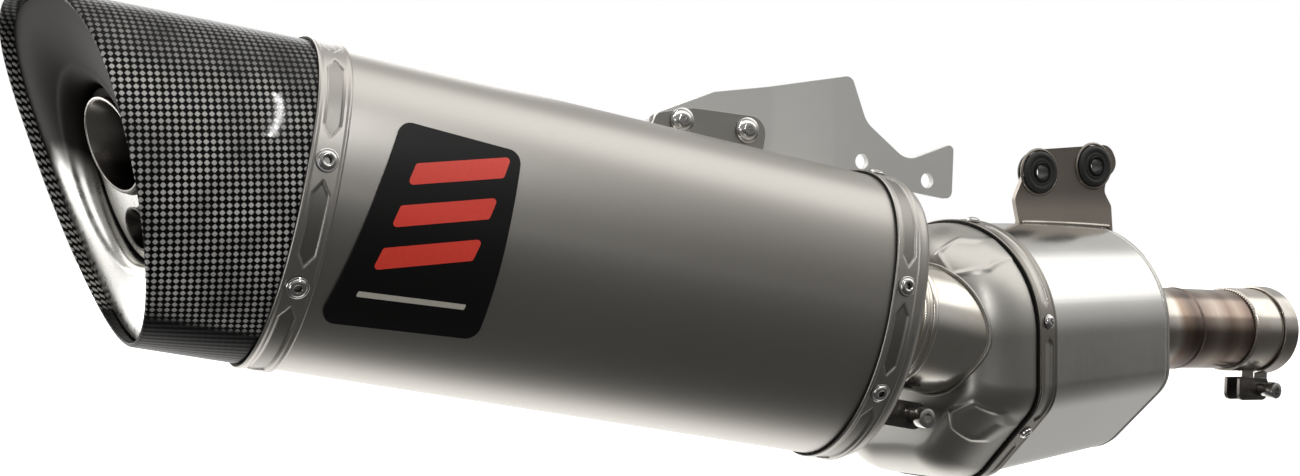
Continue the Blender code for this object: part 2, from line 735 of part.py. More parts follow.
def make_rear_cap(frame, muffler_frame, material, dark):
    """Rear cap of the chamber: a round edge and a flat end, pierced by the link pipe."""
    step = SHEET + GAP
    wall = 1.3
    depths = (14.0, 24.0, 31.0, 35.0, REAR_CAP_DEPTH)
    outside = [chamber_ring(12.0, step), chamber_ring(0.1, step), chamber_ring(0.1)]
    outside += [chamber_ring(-d, edge_inset(d)) for d in depths]
    inside = [chamber_ring(12.0, step + wall), chamber_ring(0.1, step + wall)]
    inside += [chamber_ring(wall - d, edge_inset(d) + wall) for d in depths]
    item = make_object("chamber_rear_cap", cup_mesh(outside, inside), frame, material)
    drill = turned(
        [(346.0, LINK_RADIUS + GAP), (396.0, LINK_RADIUS + GAP)], 0.0, JOINT_Z, wrap=False
    )
    add_cutter("cut_rear_cap", drill, muffler_frame, dark, [item])
    return item


def make_front_cap(frame, inlet_frame, material, dark):
    """Flanged front cap of the chamber, pierced by the inlet pipe."""
    end = CHAMBER_LENGTH
    step = SHEET + GAP
    start = end - 8 + GAP
    wall = 1.3
    outside = [chamber_ring(end - 14, step), chamber_ring(start, step), chamber_ring(start)]
    outside += [chamber_ring(end - 4, 0.3), chamber_ring(end - 1.2, 2.2), chamber_ring(end, 6.0)]
    inside = [chamber_ring(end - 14, step + wall), chamber_ring(end - 4, step + wall)]
    inside.append(chamber_ring(end - 1.4, 6.5))
    item = make_object("chamber_front_cap", cup_mesh(outside, inside), frame, material)
    drill = turned([(-40.0, INLET_RADIUS + GAP), (40.0, INLET_RADIUS + GAP)], wrap=False)
    add_cutter("cut_front_cap", drill, inlet_frame, dark, [item])


def chamber_screw_places():
    """(y, z, lean) of each band screw around the chamber's section."""
    corner = Vector((-CHAMBER_HALF_WIDTH, LOWER_CORNER_Z))
    along = (Vector((LOWER_CORNER_Y, CHAMBER_BOTTOM)) - corner).normalized()
    lower = corner + along * CHAMBER_SCREW_DROP
    places = [(lower.x, lower.y, -math.atan2(-along.y, -along.x))]
    places.append((BOTTOM_SCREW_Y, CHAMBER_BOTTOM, math.pi))
    flank = math.acos((CHAMBER_SCREW_Z - CHAMBER_WAIST_Z) / CHAMBER_HALF_WIDTH)
    for lean in (math.radians(CROWN_SCREW_LEAN), -flank, flank):
        y = CHAMBER_HALF_WIDTH * math.sin(lean)
        z = CHAMBER_WAIST_Z + CHAMBER_HALF_WIDTH * math.cos(lean)
        places.append((y, z, lean))
    return [(y, chamber_lift(CHAMBER_SCREW_X, z), lean) for y, z, lean in places]


def make_chamber_band(frame, shell, cap, metal, screw_metal, dark):
    start = CHAMBER_BAND_START
    end = start + CHAMBER_BAND_WIDTH
    rings = [chamber_ring(start, -GAP), chamber_ring(start, -GAP - 1.5)]
    rings += [chamber_ring(end, -GAP - 1.5), chamber_ring(end, -GAP)]
    band = make_object("chamber_band", loft(rings), frame, metal)
    for number, (y, z, lean) in enumerate(chamber_screw_places(), start=1):
        turn = Euler((-lean, 0.0, 0.0))
        screw = turned(
            [(-4.0, 1.8), (2.1, 1.8), (2.1, 3.6), (3.4, 3.4), (4.0, 2.4)], steps=12, wrap=False
        )
        bmesh.ops.rotate(screw, matrix=Matrix.Rotation(-math.pi / 2, 3, "Y"), verts=screw.verts)
        place = (CHAMBER_SCREW_X, y, z)
        make_object(f"chamber_screw_{number}", screw, frame, screw_metal, place, turn)
        drill = turned([(-8, 2.1), (8, 2.1)], steps=8, wrap=False)
        bmesh.ops.rotate(drill, matrix=Matrix.Rotation(-math.pi / 2, 3, "Y"), verts=drill.verts)
        add_cutter(f"cut_chamber_{number}", drill, frame, dark, [band, shell, cap], place, turn)


def make_chamber_inside(frame, metal, dark):
    inset = SHEET + 2 * GAP
    plate = loft([chamber_ring(62.0, inset), chamber_ring(63.5, inset)], wrap=False)
    baffle = make_object("chamber_baffle", plate, frame, metal)
    y, z = INLET_CENTRE[1], INLET_CENTRE[2]
    drill = turned([(50.0, 22.3), (75.0, 22.3)], y, z, wrap=False)
    add_cutter("cut_chamber_baffle", drill, frame, dark, [baffle])
    perforated_tube("chamber_core_tube", 44.0, 98.0, 22.0, 20.8, y, z, frame, metal, dark)


def make_link_pipe(frame, material):
    """Straight pipe with a stop bead, from inside the slotted sleeve into the chamber."""
    bead = INLET_SLEEVE_END + 2.0
    profile = [
        (LINK_START, LINK_RADIUS - 0.8), (LINK_START + 1.5, LINK_RADIUS), (bead, LINK_RADIUS),
        (bead + 0.8, LINK_RADIUS + 1.3), (bead + 3.2, LINK_RADIUS + 1.3), (bead + 4.0, LINK_RADIUS),
        (LINK_END, LINK_RADIUS), (LINK_END, LINK_BORE), (LINK_START, LINK_BORE),
    ]
    return make_object("link_pipe", turned(profile, 0.0, JOINT_Z), frame, material)


def make_inlet(frame, pipe_metal, collar_metal, dark):
    profile = [
        (-14.0, INLET_RADIUS), (INLET_LENGTH, INLET_RADIUS), (INLET_LENGTH, INLET_BORE),
        (-14.0, INLET_BORE),
    ]
    make_object("inlet_pipe", turned(profile), frame, pipe_metal)
    collar = tube(COLLAR_START, COLLAR_END, COLLAR_RADIUS, COLLAR_BORE)
    item = make_object("inlet_collar", collar, frame, collar_metal)
    for name, turn in (("collar_slit_a", 0), ("collar_slit_b", 90)):
        slit = box_mesh((144.5, -1.0, -30.0), (165.0, 1.0, 30.0))
        add_cutter(name, slit, frame, dark, [item], (0, 0, 0), Euler((math.radians(turn + 22.5), 0, 0)))


CLAMP_SCREW_DROP = 10.0
LUG_TOP = 2.5
LUG_BOTTOM = 17.0
LUG_EXTRA = 1.2
BARREL_RADIUS = 5.0
SPACER_LENGTH = 6.0
SPACER_STEP_RADIUS = 4.2
HEAD_LENGTH = 6.0
HEAD_RADIUS = 5.4
EDGE_BREAK = 0.4
TIP_RADIUS = 2.6
TIP_CHAMFER = 0.8
TIP_REACH = 8.5
DRILL_REACH = 30.0


def clamp_outline(radius, thickness, ear, opening):
    """Open ring with two straight ears at the bottom, in the plane across the pipe."""
    half = opening / 2
    outer = radius + thickness
    gap_angle = math.asin(half / radius)
    ear_angle = math.asin((half + thickness) / outer)
    steps = 24
    inner_arc = []
    outer_arc = []
    for i in range(steps + 1):
        share = i / steps
        a = math.pi + gap_angle + (2 * math.pi - 2 * gap_angle) * share
        b = math.pi + ear_angle + (2 * math.pi - 2 * ear_angle) * share
        inner_arc.append((radius * math.sin(a), radius * math.cos(a)))
        outer_arc.append((outer * math.sin(b), outer * math.cos(b)))
    bottom = -(outer + ear)
    left = [(-half, bottom), (-half - thickness, bottom)]
    right = [(half + thickness, bottom), (half, bottom)]
    return left + outer_arc + right + list(reversed(inner_arc))


def lug_mesh(side, reach, top, bottom):
    """Thick end of one ear, which runs along the pipe to the cross screw."""
    near = CLAMP_OPENING / 2 - EDGE_BREAK
    depth = CLAMP_SHEET + LUG_EXTRA
    start = near if side > 0 else -near - depth
    low, high = reach
    outline = rounded_outline(
        [(low, bottom, 4.0), (high, bottom, 6.0), (high, top, 4.0), (low, top, 1.0)], steps=3
    )
    return prism(outline, depth, lambda u, v, w: (u, start + w, v))


def make_clamp(prefix, frame, place, radius, width, lug_reach, screw_x, metal, screw_metal, dark):
    """Band whose two ears are drawn together by a socket screw and a barrel nut."""
    x, z = place
    outline = clamp_outline(radius, CLAMP_SHEET, CLAMP_EAR, CLAMP_OPENING)
    body = prism(outline, width, lambda u, v, w: (w - width / 2, u, v))
    band = make_object(f"{prefix}_clamp_band", body, frame, metal, (x, 0.0, z))
    outer = radius + CLAMP_SHEET
    screw_z = z - outer - CLAMP_SCREW_DROP
    reach = (lug_reach[0] - x, lug_reach[1] - x)
    for side in (1, -1):
        lug = lug_mesh(side, reach, -outer - LUG_TOP, -outer - LUG_BOTTOM)
        joined = add_cutter(f"{prefix}_lug_{side}", lug, frame, dark, [band], (x, 0.0, z))
        band.modifiers[joined.name].operation = "UNION"
    grip = CLAMP_OPENING / 2 + CLAMP_SHEET + LUG_EXTRA - EDGE_BREAK
    half_nut = CLAMP_NUT / 2
    barrel = turned([(-half_nut, BARREL_RADIUS), (half_nut, BARREL_RADIUS)], steps=16, wrap=False)
    bmesh.ops.rotate(barrel, matrix=Matrix.Rotation(math.pi / 2, 3, "Y"), verts=barrel.verts)
    barrel_y = grip + GAP + BARREL_RADIUS
    nut = make_object(
        f"{prefix}_clamp_nut", barrel, frame, screw_metal, (screw_x, barrel_y, screw_z)
    )
    spacer = -(grip + GAP)
    head = spacer - SPACER_LENGTH
    tip = barrel_y + TIP_REACH
    profile = [
        (tip, TIP_RADIUS), (tip - TIP_CHAMFER, CLAMP_SCREW), (spacer, CLAMP_SCREW),
        (spacer, SPACER_STEP_RADIUS), (head, SPACER_STEP_RADIUS), (head, HEAD_RADIUS),
        (head - HEAD_LENGTH + EDGE_BREAK, HEAD_RADIUS), (head - HEAD_LENGTH, HEAD_RADIUS - 0.5),
    ]
    turn = Euler((0.0, 0.0, math.radians(90)))
    screw = turned(profile, steps=16, wrap=False)
    make_object(f"{prefix}_clamp_screw", screw, frame, screw_metal, (screw_x, 0.0, screw_z), turn)
    bore = CLAMP_SCREW + GAP
    drill = turned([(-DRILL_REACH, bore), (DRILL_REACH, bore)], steps=12, wrap=False)
    cut_place = (screw_x, 0.0, screw_z)
    add_cutter(f"cut_{prefix}_clamp", drill, frame, dark, [band, nut], cut_place, turn)


def make_frame_bracket(root, chamber, material, dark):
    """Upright plate with a foot that curves down onto the crown of the chamber.

    A narrow flat land between the grommets stands a little proud of the rest.
    """
    bend_start, bend_end = BRACKET_BEND
    foot_angle = math.radians(BRACKET_LEAN)
    bend_length = bend_start - bend_end
    bend_radius = bend_length / foot_angle

    def bend(x, v):
        if v >= bend_start:
            return (x, 0.0 if abs(x) < BRACKET_MIDDLE + 0.01 else -BRACKET_LAND, v)
        if v >= bend_end:
            angle = (bend_start - v) / bend_radius
            drop = bend_radius * math.sin(angle)
            return (x, -bend_radius * (1 - math.cos(angle)), bend_start - drop)
        rest = bend_end - v
        y = -bend_radius * (1 - math.cos(foot_angle)) - rest * math.sin(foot_angle)
        z = bend_start - bend_radius * math.sin(foot_angle) - rest * math.cos(foot_angle)
        return (x, y, z)

    cuts = [bend_start - bend_length * i / 3 for i in range(4)]
    outline = rounded_outline(BRACKET_OUTLINE)
    item = sheet_object(
        "frame_bracket", outline, cuts, bend, BRACKET_SHEET, root, material,
        cross_cuts=(-BRACKET_LAND_EDGE, -BRACKET_MIDDLE, BRACKET_MIDDLE, BRACKET_LAND_EDGE)
    )
    item.modifiers["thickness"].offset = 1
    for number, (x, z) in enumerate(GROMMET_CENTRES):
        drill = side_drill(x, z, GROMMET_NECK + GAP, -20.0, 20.0, 24)
        add_cutter(f"cut_bracket_{number}", drill, root, dark, [item])
    body = loft([chamber_ring(0.0, -GAP), chamber_ring(CHAMBER_LENGTH, -GAP)], wrap=False)
    add_cutter("cut_bracket_foot", body, chamber, dark, [item])


def make_grommets(root, rubber, steel):
    """Rubber grommets with steel spacers through them."""
    flange = 2.6
    face = BRACKET_SHEET + GAP
    for number, (x, z) in enumerate(GROMMET_CENTRES, start=1):
        profile = [
            (-face - flange, GROMMET_RADIUS - 1.0), (-face - flange + 1, GROMMET_RADIUS),
            (-face, GROMMET_RADIUS), (-face, GROMMET_NECK), (GAP, GROMMET_NECK), (GAP, GROMMET_RADIUS),
            (GAP + flange - 1, GROMMET_RADIUS), (GAP + flange, GROMMET_RADIUS - 1.0),
            (GAP + flange, GROMMET_BORE), (-face - flange, GROMMET_BORE),
        ]
        turn = Euler((0.0, 0.0, math.radians(90)))
        body = turned(profile, steps=20)
        make_object(f"grommet_{number}", body, root, rubber, (x, 0.0, z), turn)
        start = -face - flange - 0.6
        spacer = tube(start, GAP + flange + 0.6, SPACER_RADIUS, SPACER_BORE, steps=16)
        make_object(f"grommet_sleeve_{number}", spacer, root, steel, (x, 0.0, z), turn)


def build():
    clear_scene()
    titanium = make_material("titanium", (0.30, 0.29, 0.27), 0.45, 0.9)
    carbon = make_material("carbon", (0.03, 0.03, 0.03), 0.2, 0.0)
    stainless = make_material("stainless", (0.55, 0.54, 0.52), 0.3, 1.0)
    satin = make_material("satin_silver", (0.6, 0.6, 0.58), 0.35, 1.0)
    tinted = make_material("tinted_steel", (0.32, 0.27, 0.22), 0.35, 1.0)
    bracket_steel = make_material("bracket_steel", (0.2, 0.18, 0.16), 0.5, 0.8)
    plate_metal = make_material("plate_aluminium", (0.62, 0.62, 0.6), 0.6, 0.6)
    screw_metal = make_material("screw_steel", (0.5, 0.5, 0.5), 0.3, 1.0)
    rubber = make_material("rubber", (0.02, 0.02, 0.02), 0.7, 0.0)
    wool = make_material("packing", (0.75, 0.72, 0.6), 0.9, 0.0)
    badge = make_material("badge", (0.02, 0.02, 0.02), 0.4, 0.0)
    dark = make_material("cutter", (0.1, 0.1, 0.1), 0.5, 0.0)

    root = make_frame("row_frame", (0, 0, 0), (0, 0, 0))
    muffler = make_frame("muffler_frame", MUFFLER_ORIGIN, (0, MUFFLER_PITCH, 0))
    chamber = make_frame("chamber_frame", CHAMBER_ORIGIN, (0, 0, CHAMBER_YAW))
    inlet = make_frame(
        "inlet_frame", INLET_CENTRE, (0, INLET_PITCH, INLET_YAW - CHAMBER_YAW), chamber
    )

    sleeve = make_sleeve(muffler, titanium)
    end_cap = make_end_cap(muffler, carbon)
    front_cap = make_muffler_front_cap(muffler, titanium)
    outlet_band = make_band("outlet_band", 0.0, muffler, titanium)
    front_band = make_band("front_band", FRONT_BAND_START, muffler, titanium)
    outlet_targets = [sleeve, end_cap, outlet_band]
    front_targets = [sleeve, front_cap, front_band]
    make_rivets("outlet", OUTLET_RIVET_X, OUTLET_CROWN_RIVET_Y, outlet_targets, muffler, screw_metal, dark)
    make_rivets("front", FRONT_RIVET_X, FRONT_CROWN_RIVET_Y, front_targets, muffler, screw_metal, dark)
    make_outlet_dish(muffler, satin)
    make_outlet_plate(muffler, satin, dark)
    make_outlet_tube("outlet_tube_large", LARGE_OUTLET, muffler, satin)
    make_outlet_tube("outlet_tube_small", SMALL_OUTLET, muffler, satin)
    make_inlet_sleeve(muffler, stainless, dark)
    make_muffler_inside(muffler, stainless, wool, dark)
    make_badge(muffler, badge)
    make_hanger_tab(muffler, stainless, dark)
    make_hanger_plate(root, muffler, plate_metal, dark)
    make_hanger_fasteners(muffler, screw_metal)

    make_clamp(
        "muffler", muffler, (MUFFLER_CLAMP_X, JOINT_Z), INLET_SLEEVE_RADIUS + GAP,
        MUFFLER_CLAMP_WIDTH, MUFFLER_CLAMP_LUG, MUFFLER_CLAMP_SCREW_X, stainless, screw_metal, dark
    )
    make_link_pipe(muffler, stainless)

    shell = make_chamber_shell(chamber, stainless)
    rear_cap = make_rear_cap(chamber, muffler, stainless, dark)
    make_front_cap(chamber, inlet, stainless, dark)
    make_chamber_band(chamber, shell, rear_cap, stainless, screw_metal, dark)
    make_chamber_inside(chamber, stainless, dark)
    make_inlet(inlet, tinted, stainless, dark)
    make_clamp(
        "inlet", inlet, (INLET_CLAMP_X, 0.0), COLLAR_RADIUS + GAP,
        INLET_CLAMP_WIDTH, INLET_CLAMP_LUG, INLET_CLAMP_SCREW_X, stainless, screw_metal, dark
    )

    make_frame_bracket(root, chamber, bracket_steel, dark)
    make_grommets(root, rubber, screw_metal)


build()
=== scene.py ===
"""Looks of a motorcycle slip-on silencer with a mid chamber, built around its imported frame.

Lengths are in millimetres, in the muffler's, chamber's, inlet's or row frame, until a mesh is made.
Places within materials and the room, lights and the camera are in metres.
"""

import math

import bmesh
import bpy
from mathutils import Euler, Matrix, Vector
from mathutils.bvhtree import BVHTree


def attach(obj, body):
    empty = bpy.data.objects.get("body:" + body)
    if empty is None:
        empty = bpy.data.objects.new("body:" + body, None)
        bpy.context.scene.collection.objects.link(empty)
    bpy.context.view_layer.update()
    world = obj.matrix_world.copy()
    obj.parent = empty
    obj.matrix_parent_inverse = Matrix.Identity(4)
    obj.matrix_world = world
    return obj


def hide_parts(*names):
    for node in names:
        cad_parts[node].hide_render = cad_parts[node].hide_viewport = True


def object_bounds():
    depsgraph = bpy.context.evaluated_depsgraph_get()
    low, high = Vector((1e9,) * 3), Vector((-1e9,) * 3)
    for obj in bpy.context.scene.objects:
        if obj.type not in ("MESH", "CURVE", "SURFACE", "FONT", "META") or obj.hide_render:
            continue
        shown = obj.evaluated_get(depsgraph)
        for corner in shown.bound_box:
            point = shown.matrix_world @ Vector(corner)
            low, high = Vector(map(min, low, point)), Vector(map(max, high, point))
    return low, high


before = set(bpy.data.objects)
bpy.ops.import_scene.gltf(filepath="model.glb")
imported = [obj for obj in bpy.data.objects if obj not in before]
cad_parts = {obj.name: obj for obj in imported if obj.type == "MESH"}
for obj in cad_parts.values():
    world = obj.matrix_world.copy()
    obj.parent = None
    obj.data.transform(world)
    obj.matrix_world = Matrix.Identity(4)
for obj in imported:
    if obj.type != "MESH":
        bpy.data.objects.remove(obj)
CAD_LOW, CAD_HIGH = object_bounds()

MM = 0.001
EVEN = (1.0, 1.0, 1.0)
GAP = 0.3
SHEET = 1.2
AROUND = 288
ROUND = 96



def posed(place, turn):
    """Matrix of a frame at place, turned by (x, y, z) radians."""
    return Matrix.Translation(place) @ Euler(turn).to_matrix().to_4x4()


# Frames: where each assembly's own axes lie in the row frame.
QUARTER = (0.0, 0.0, math.radians(90))
CHAMBER_YAW = 13.6
MUFFLER = posed((-491.1, -42.5, -24.2), (0.0, math.radians(10.8), 0.0))
CHAMBER = posed((-101, -20, -102), (0.0, 0.0, math.radians(CHAMBER_YAW)))
INLET = CHAMBER @ posed((132, -10, 7.5), (0.0, math.radians(2.5), math.radians(6.0 - CHAMBER_YAW)))
ROW = Matrix.Identity(4)

# Muffler section and its outlet.
HALF_WIDTH = 56.0
TOP = 66.0
TOP_GROWTH = 0.0085
BOTTOM = 79.0
WAIST = 6.0
TOP_POWER = 2.7
BOTTOM_POWER = 2.0
SLEEVE = (1.0, 311.0)
BAND_WIDTH = 15.0
BAND_RIVET = 7.5
FRONT_BAND = 299.0
BAND_STEPS = 720
BAND_ROW = 0.5
BORDER_WIDTH = 1.9
BORDER_LIFT = 0.35
EDGE_ROUND = 0.5
PANEL_KEEP = 8.5
PANEL_LONGEST = 78.0
PANEL_RAMP = 0.6
PRESSED_SHARE = 0.98
BAND_CROWNS = {"outlet": 9.0, "front": -15.0}
JOINT_Z = 2.5
CAP_WALL = 2.0
CAP_TAPER = (2.5, 4.0)
CAP_LENGTH = 110.0
CAP_ROWS = 40
DISH_SHEET = 0.8
DISH_DEPTHS = (14.0, 7.5, 6.1, 5.5)
ROLL_START = -4.4
ROLL_RADIUS = 6.0
FRONT_ROUND = 8.0
FRONT_SHOULDER = 316.0
MOUTH_CENTRE = (1.0, -1.5)
MOUTH_HALF = (25.5, 37.5)
RIVET_HEIGHTS = (17.0, -36.0)

# Chamber section.
CHAMBER_HALF = 60.5
CHAMBER_TOP = 69.5
CHAMBER_BOTTOM = -72.5
CHAMBER_LENGTH = 132.0
CHAMBER_WAIST = 9.0
CHAMBER_SCREW_X = 8.5
CHAMBER_ROUND = 6.0
PANEL_HEIGHT = 0.75
REAR_DEPTH = 36.0
REAR_INSET = 22.0

WEAVE_PITCH = 2.9
WEAVE_TURN = -12.5

# Heights in metres between which painted shade sets in on the carbon and the dish, and the dish darkens
# below.
WEAVE_SHADE_BELOW = (-0.0605, -0.056)
WEAVE_SHADE = (0.034, 0.056)
DISH_SHADE_HEIGHTS = (0.0, 0.022)
DISH_DARK_BELOW = (-0.04, -0.07)

DRILL_STEPS = 64

GROMMETS = ((-20.8, -2.2), (20.8, 2.2))
HANGER_SCREWS = ((200.5, 81.0), (238.5, 84.5))
HANGER_HOLES = ((-158.6, 0.6), (-114.9, -9.1))
TAB_Y = 6.0
SCREW_HOLE = 3.3
BOLT_HOLE = 4.2
HANGER_STEP = (-224.0, 48.0)
HANGER_DEPTHS = (-33.2, 13.0)

# Plain bars of the badge.
BAR_LOWS = (-24.0, -5.0, 14.0)
BAR_HEIGHT = 13.0
BAR_LEAN = 0.19
BAR_REAR = 41.0
BAR_FRONT = 84.0
BADGE_SKIN = 0.68

# Link and inlet pipes, and the clamps' sheet.
LINK_RADIUS = 34.0
LINK_BORE = 32.6
INLET_RADIUS = 25.0
INLET_BORE = 23.6
PIPE_BEADS = (30.0, 66.0)
CLAMP_SHEET = 1.4
CLAMP_EAR = 12.0
CLAMP_OPENING = 8.0
LUG_SHEET = 2.6
SCREW_TIP = 20.0

# Frame bracket: its bend, sheet and the run of its welds.
BEND_START = -13.0
BEND_END = -25.0
BEND_ANGLE = math.radians(10)
BRACKET_SHEET = 3.0
BRACKET_WELD = (-36.0, 32.5)
BRACKET_WELD_STEPS = 69


# ---------------------------------------------------------------- materials

class Paint:
    """A node material, with short ways to add nodes to it."""

    def __init__(self, name, colour, roughness, metallic=1.0, **sockets):
        self.material = bpy.data.materials.new(name)
        self.material.use_nodes = True
        self.tree = self.material.node_tree
        self.shader = self.tree.nodes["Principled BSDF"]
        self.put(self.shader, "Base Color", colour)
        self.put(self.shader, "Roughness", roughness)
        self.put(self.shader, "Metallic", metallic)
        for socket, value in sockets.items():
            self.put(self.shader, socket.replace("_", " ").title().replace("Ior", "IOR"), value)

    def put(self, node, socket, value):
        if isinstance(value, bpy.types.NodeSocket):
            self.tree.links.new(value, node.inputs[socket])
        elif isinstance(value, tuple) and len(value) == 3 and node.inputs[socket].type == "RGBA":
            node.inputs[socket].default_value = (*value, 1.0)
        else:
            node.inputs[socket].default_value = value

    def add(self, kind, inputs=None, **settings):
        node = self.tree.nodes.new(kind)
        for key, value in settings.items():
            setattr(node, key, value)
        for key, value in (inputs or {}).items():
            self.put(node, key, value)
        return node

    def maths(self, operation, a, b=0.0):
        return self.add("ShaderNodeMath", {0: a, 1: b}, operation=operation).outputs[0]

    def coords(self, kind="Object"):
        return self.add("ShaderNodeTexCoord").outputs[kind]

    def axes(self):
        return self.add("ShaderNodeSeparateXYZ", {0: self.coords()}).outputs

    def noise(self, scale, stretch=EVEN, detail=3.0):
        """Noise over the object's own coordinates in metres; scale is features per metre."""
        place = self.add("ShaderNodeMapping", {"Vector": self.coords(), "Scale": stretch})
        inputs = {"Vector": place.outputs[0], "Scale": scale, "Detail": detail}
        return self.add("ShaderNodeTexNoise", inputs).outputs[0]

    def remap(self, value, low, high, to_low, to_high, smooth=False):
        inputs = {"Value": value, "From Min": low, "From Max": high, "To Min": to_low, "To Max": to_high}
        kind = "SMOOTHSTEP" if smooth else "LINEAR"
        return self.add("ShaderNodeMapRange", inputs, interpolation_type=kind).outputs[0]

    def ramp(self, value, stops):
        node = self.add("ShaderNodeValToRGB", {"Fac": value})
        elements = node.color_ramp.elements
        while len(elements) < len(stops):
            elements.new(0.5)
        for element, (position, colour) in zip(elements, stops):
            element.position = position
            element.color = (*colour, 1.0)
        return node.outputs[0]

    def mix(self, factor, a, b):
        node = self.add("ShaderNodeMix", {"Factor": factor}, data_type="RGBA")
        self.put(node, 6, a)
        self.put(node, 7, b)
        return node.outputs[2]

    def colour(self, value):
        self.put(self.shader, "Base Color", value)

    def rough(self, value):
        self.put(self.shader, "Roughness", value)

    def bump(self, height, strength, depth_mm):
        inputs = {"Height": height, "Strength": strength, "Distance": depth_mm * MM}
        node = self.add("ShaderNodeBump", inputs)
        self.put(self.shader, "Normal", node.outputs[0])


def grained(name, tones, grain, rough, bump=None, cloud=None, metallic=1.0, **sockets):
    """Finish with a fine grain that sways its tone, roughness and bumps.

    grain and cloud are noise settings; where there is a cloud, the tone follows that instead.
    """
    paint = Paint(name, tones[0], rough[0], metallic, **sockets)
    fine = paint.noise(*grain)
    paint.colour(paint.mix(paint.noise(*cloud) if cloud else fine, *tones))
    if rough[1] > rough[0]:
        paint.rough(paint.remap(fine, 0.3, 0.7, *rough))
    if bump:
        paint.bump(fine, *bump)
    return paint.material


def blasted_titanium(name, tones):
    """Bead-blasted titanium: an even fine grain with faint cloudy patches."""
    return grained(name, tones, (2600.0, EVEN, 2.0), (0.33, 0.42), (0.25, 0.05), (9.0, EVEN, 2.0))


def stripe_paint(name, colour):
    """Slightly speckled enamel under thin lacquer."""
    darker = tuple(channel * 0.86 for channel in colour)
    return grained(name, (darker, colour), (500.0,), (0.4, 0.4), (0.12, 0.02), metallic=0.0,
                   coat_weight=0.3, coat_roughness=0.15)


def carbon_weave():
    """Plain-weave carbon under clear lacquer: bright thread crossings on a slanted square grid, with
    painted shade that fades them out below and dims them above.
    """
    dark = (0.004, 0.004, 0.004)
    lacquer = {"coat_weight": 0.12, "coat_roughness": 0.03, "specular_ior_level": 0.05}
    paint = Paint("carbon_weave", dark, 0.4, 0.0, **lacquer)
    wave_scale = 2 * math.pi / WEAVE_PITCH
    turned_uv = paint.add("ShaderNodeMapping", {
        "Vector": paint.coords("UV"), "Rotation": (0.0, 0.0, math.radians(-WEAVE_TURN)),
        "Scale": (wave_scale, wave_scale, 1.0),
    })
    across = paint.add("ShaderNodeSeparateXYZ", {0: turned_uv.outputs[0]}).outputs
    waves = paint.maths("ADD", paint.maths("COSINE", across[0]), paint.maths("COSINE", across[1]))
    over = paint.remap(waves, 0.0, 0.55, 0.0, 1.0, True)
    height = paint.axes()[2]
    # Painted shade: the crossings fade out on the cap's underside and dim towards its top.
    lit = paint.remap(height, *WEAVE_SHADE_BELOW, 0.0, 1.0, True)
    shade = paint.remap(height, *WEAVE_SHADE, 1.0, 0.35, True)
    patch = paint.remap(paint.noise(55.0, detail=2.0), 0.3, 0.7, 0.5, 1.1)
    light = paint.maths("MULTIPLY", over, lit)
    light = paint.maths("MULTIPLY", light, paint.maths("MULTIPLY", patch, shade))
    colour = paint.mix(light, (0.004, 0.004, 0.0042), (0.56, 0.55, 0.53))
    paint.colour(colour)
    paint.bump(waves, 0.35, 0.12)
    return paint.material


def brushed(name, low, high, roughness, scale, stretch, depth):
    """Metal with fine parallel brushing; stretch squeezes the noise along the brushing."""
    paint = Paint(name, low, 0.3)
    lines = paint.noise(scale, stretch, 4.0)
    cloud = paint.noise(14.0, detail=3.0)
    paint.colour(paint.mix(cloud, low, high))
    mixed = paint.maths("ADD", paint.maths("MULTIPLY", lines, 0.6), paint.maths("MULTIPLY", cloud, 0.4))
    paint.rough(paint.remap(mixed, 0.3, 0.7, *roughness))
    paint.bump(lines, 0.3, depth)
    return paint.material


def heat_tinted():
    """Polished steel pipe with straw, bronze and grey rings left by welding heat."""
    paint = Paint("heat_tinted", (0.3, 0.25, 0.2), 0.2)
    along = paint.axes()[0]
    ripple = paint.remap(paint.noise(30.0, detail=2.0), 0.0, 1.0, -0.004, 0.004)
    place = paint.remap(paint.maths("ADD", along, ripple), 0.0, 0.142, 0.0, 1.0)
    rings = (
        (0.0, (0.30, 0.26, 0.22)), (0.26, (0.50, 0.47, 0.43)), (0.31, (0.60, 0.56, 0.50)),
        (0.35, (0.30, 0.22, 0.17)), (0.42, (0.13, 0.10, 0.085)), (0.50, (0.24, 0.19, 0.16)),
        (0.58, (0.38, 0.32, 0.27)), (0.66, (0.22, 0.16, 0.13)), (0.72, (0.34, 0.27, 0.22)),
        (0.79, (0.17, 0.12, 0.10)), (0.86, (0.28, 0.22, 0.18)), (1.0, (0.48, 0.44, 0.38)),
    )
    colour = paint.ramp(place, rings)
    paint.colour(colour)
    lines = paint.noise(900.0, (1.0, 0.06, 0.06))
    paint.rough(paint.remap(lines, 0.3, 0.7, 0.16, 0.26))
    paint.bump(lines, 0.15, 0.02)
    return paint.material


def polished(name, colour, roughness, stain=None):
    """Bright metal with slight smears and, where given, a stained tone in patches."""
    paint = Paint(name, colour, roughness)
    smear = paint.noise(45.0, detail=4.0)
    if stain:
        paint.colour(paint.mix(paint.remap(smear, 0.35, 0.7, 0, 1), colour, stain))
    paint.rough(paint.remap(smear, 0.3, 0.7, roughness * 0.7, roughness * 1.35))
    paint.bump(paint.noise(700.0), 0.08, 0.02)
    return paint.material


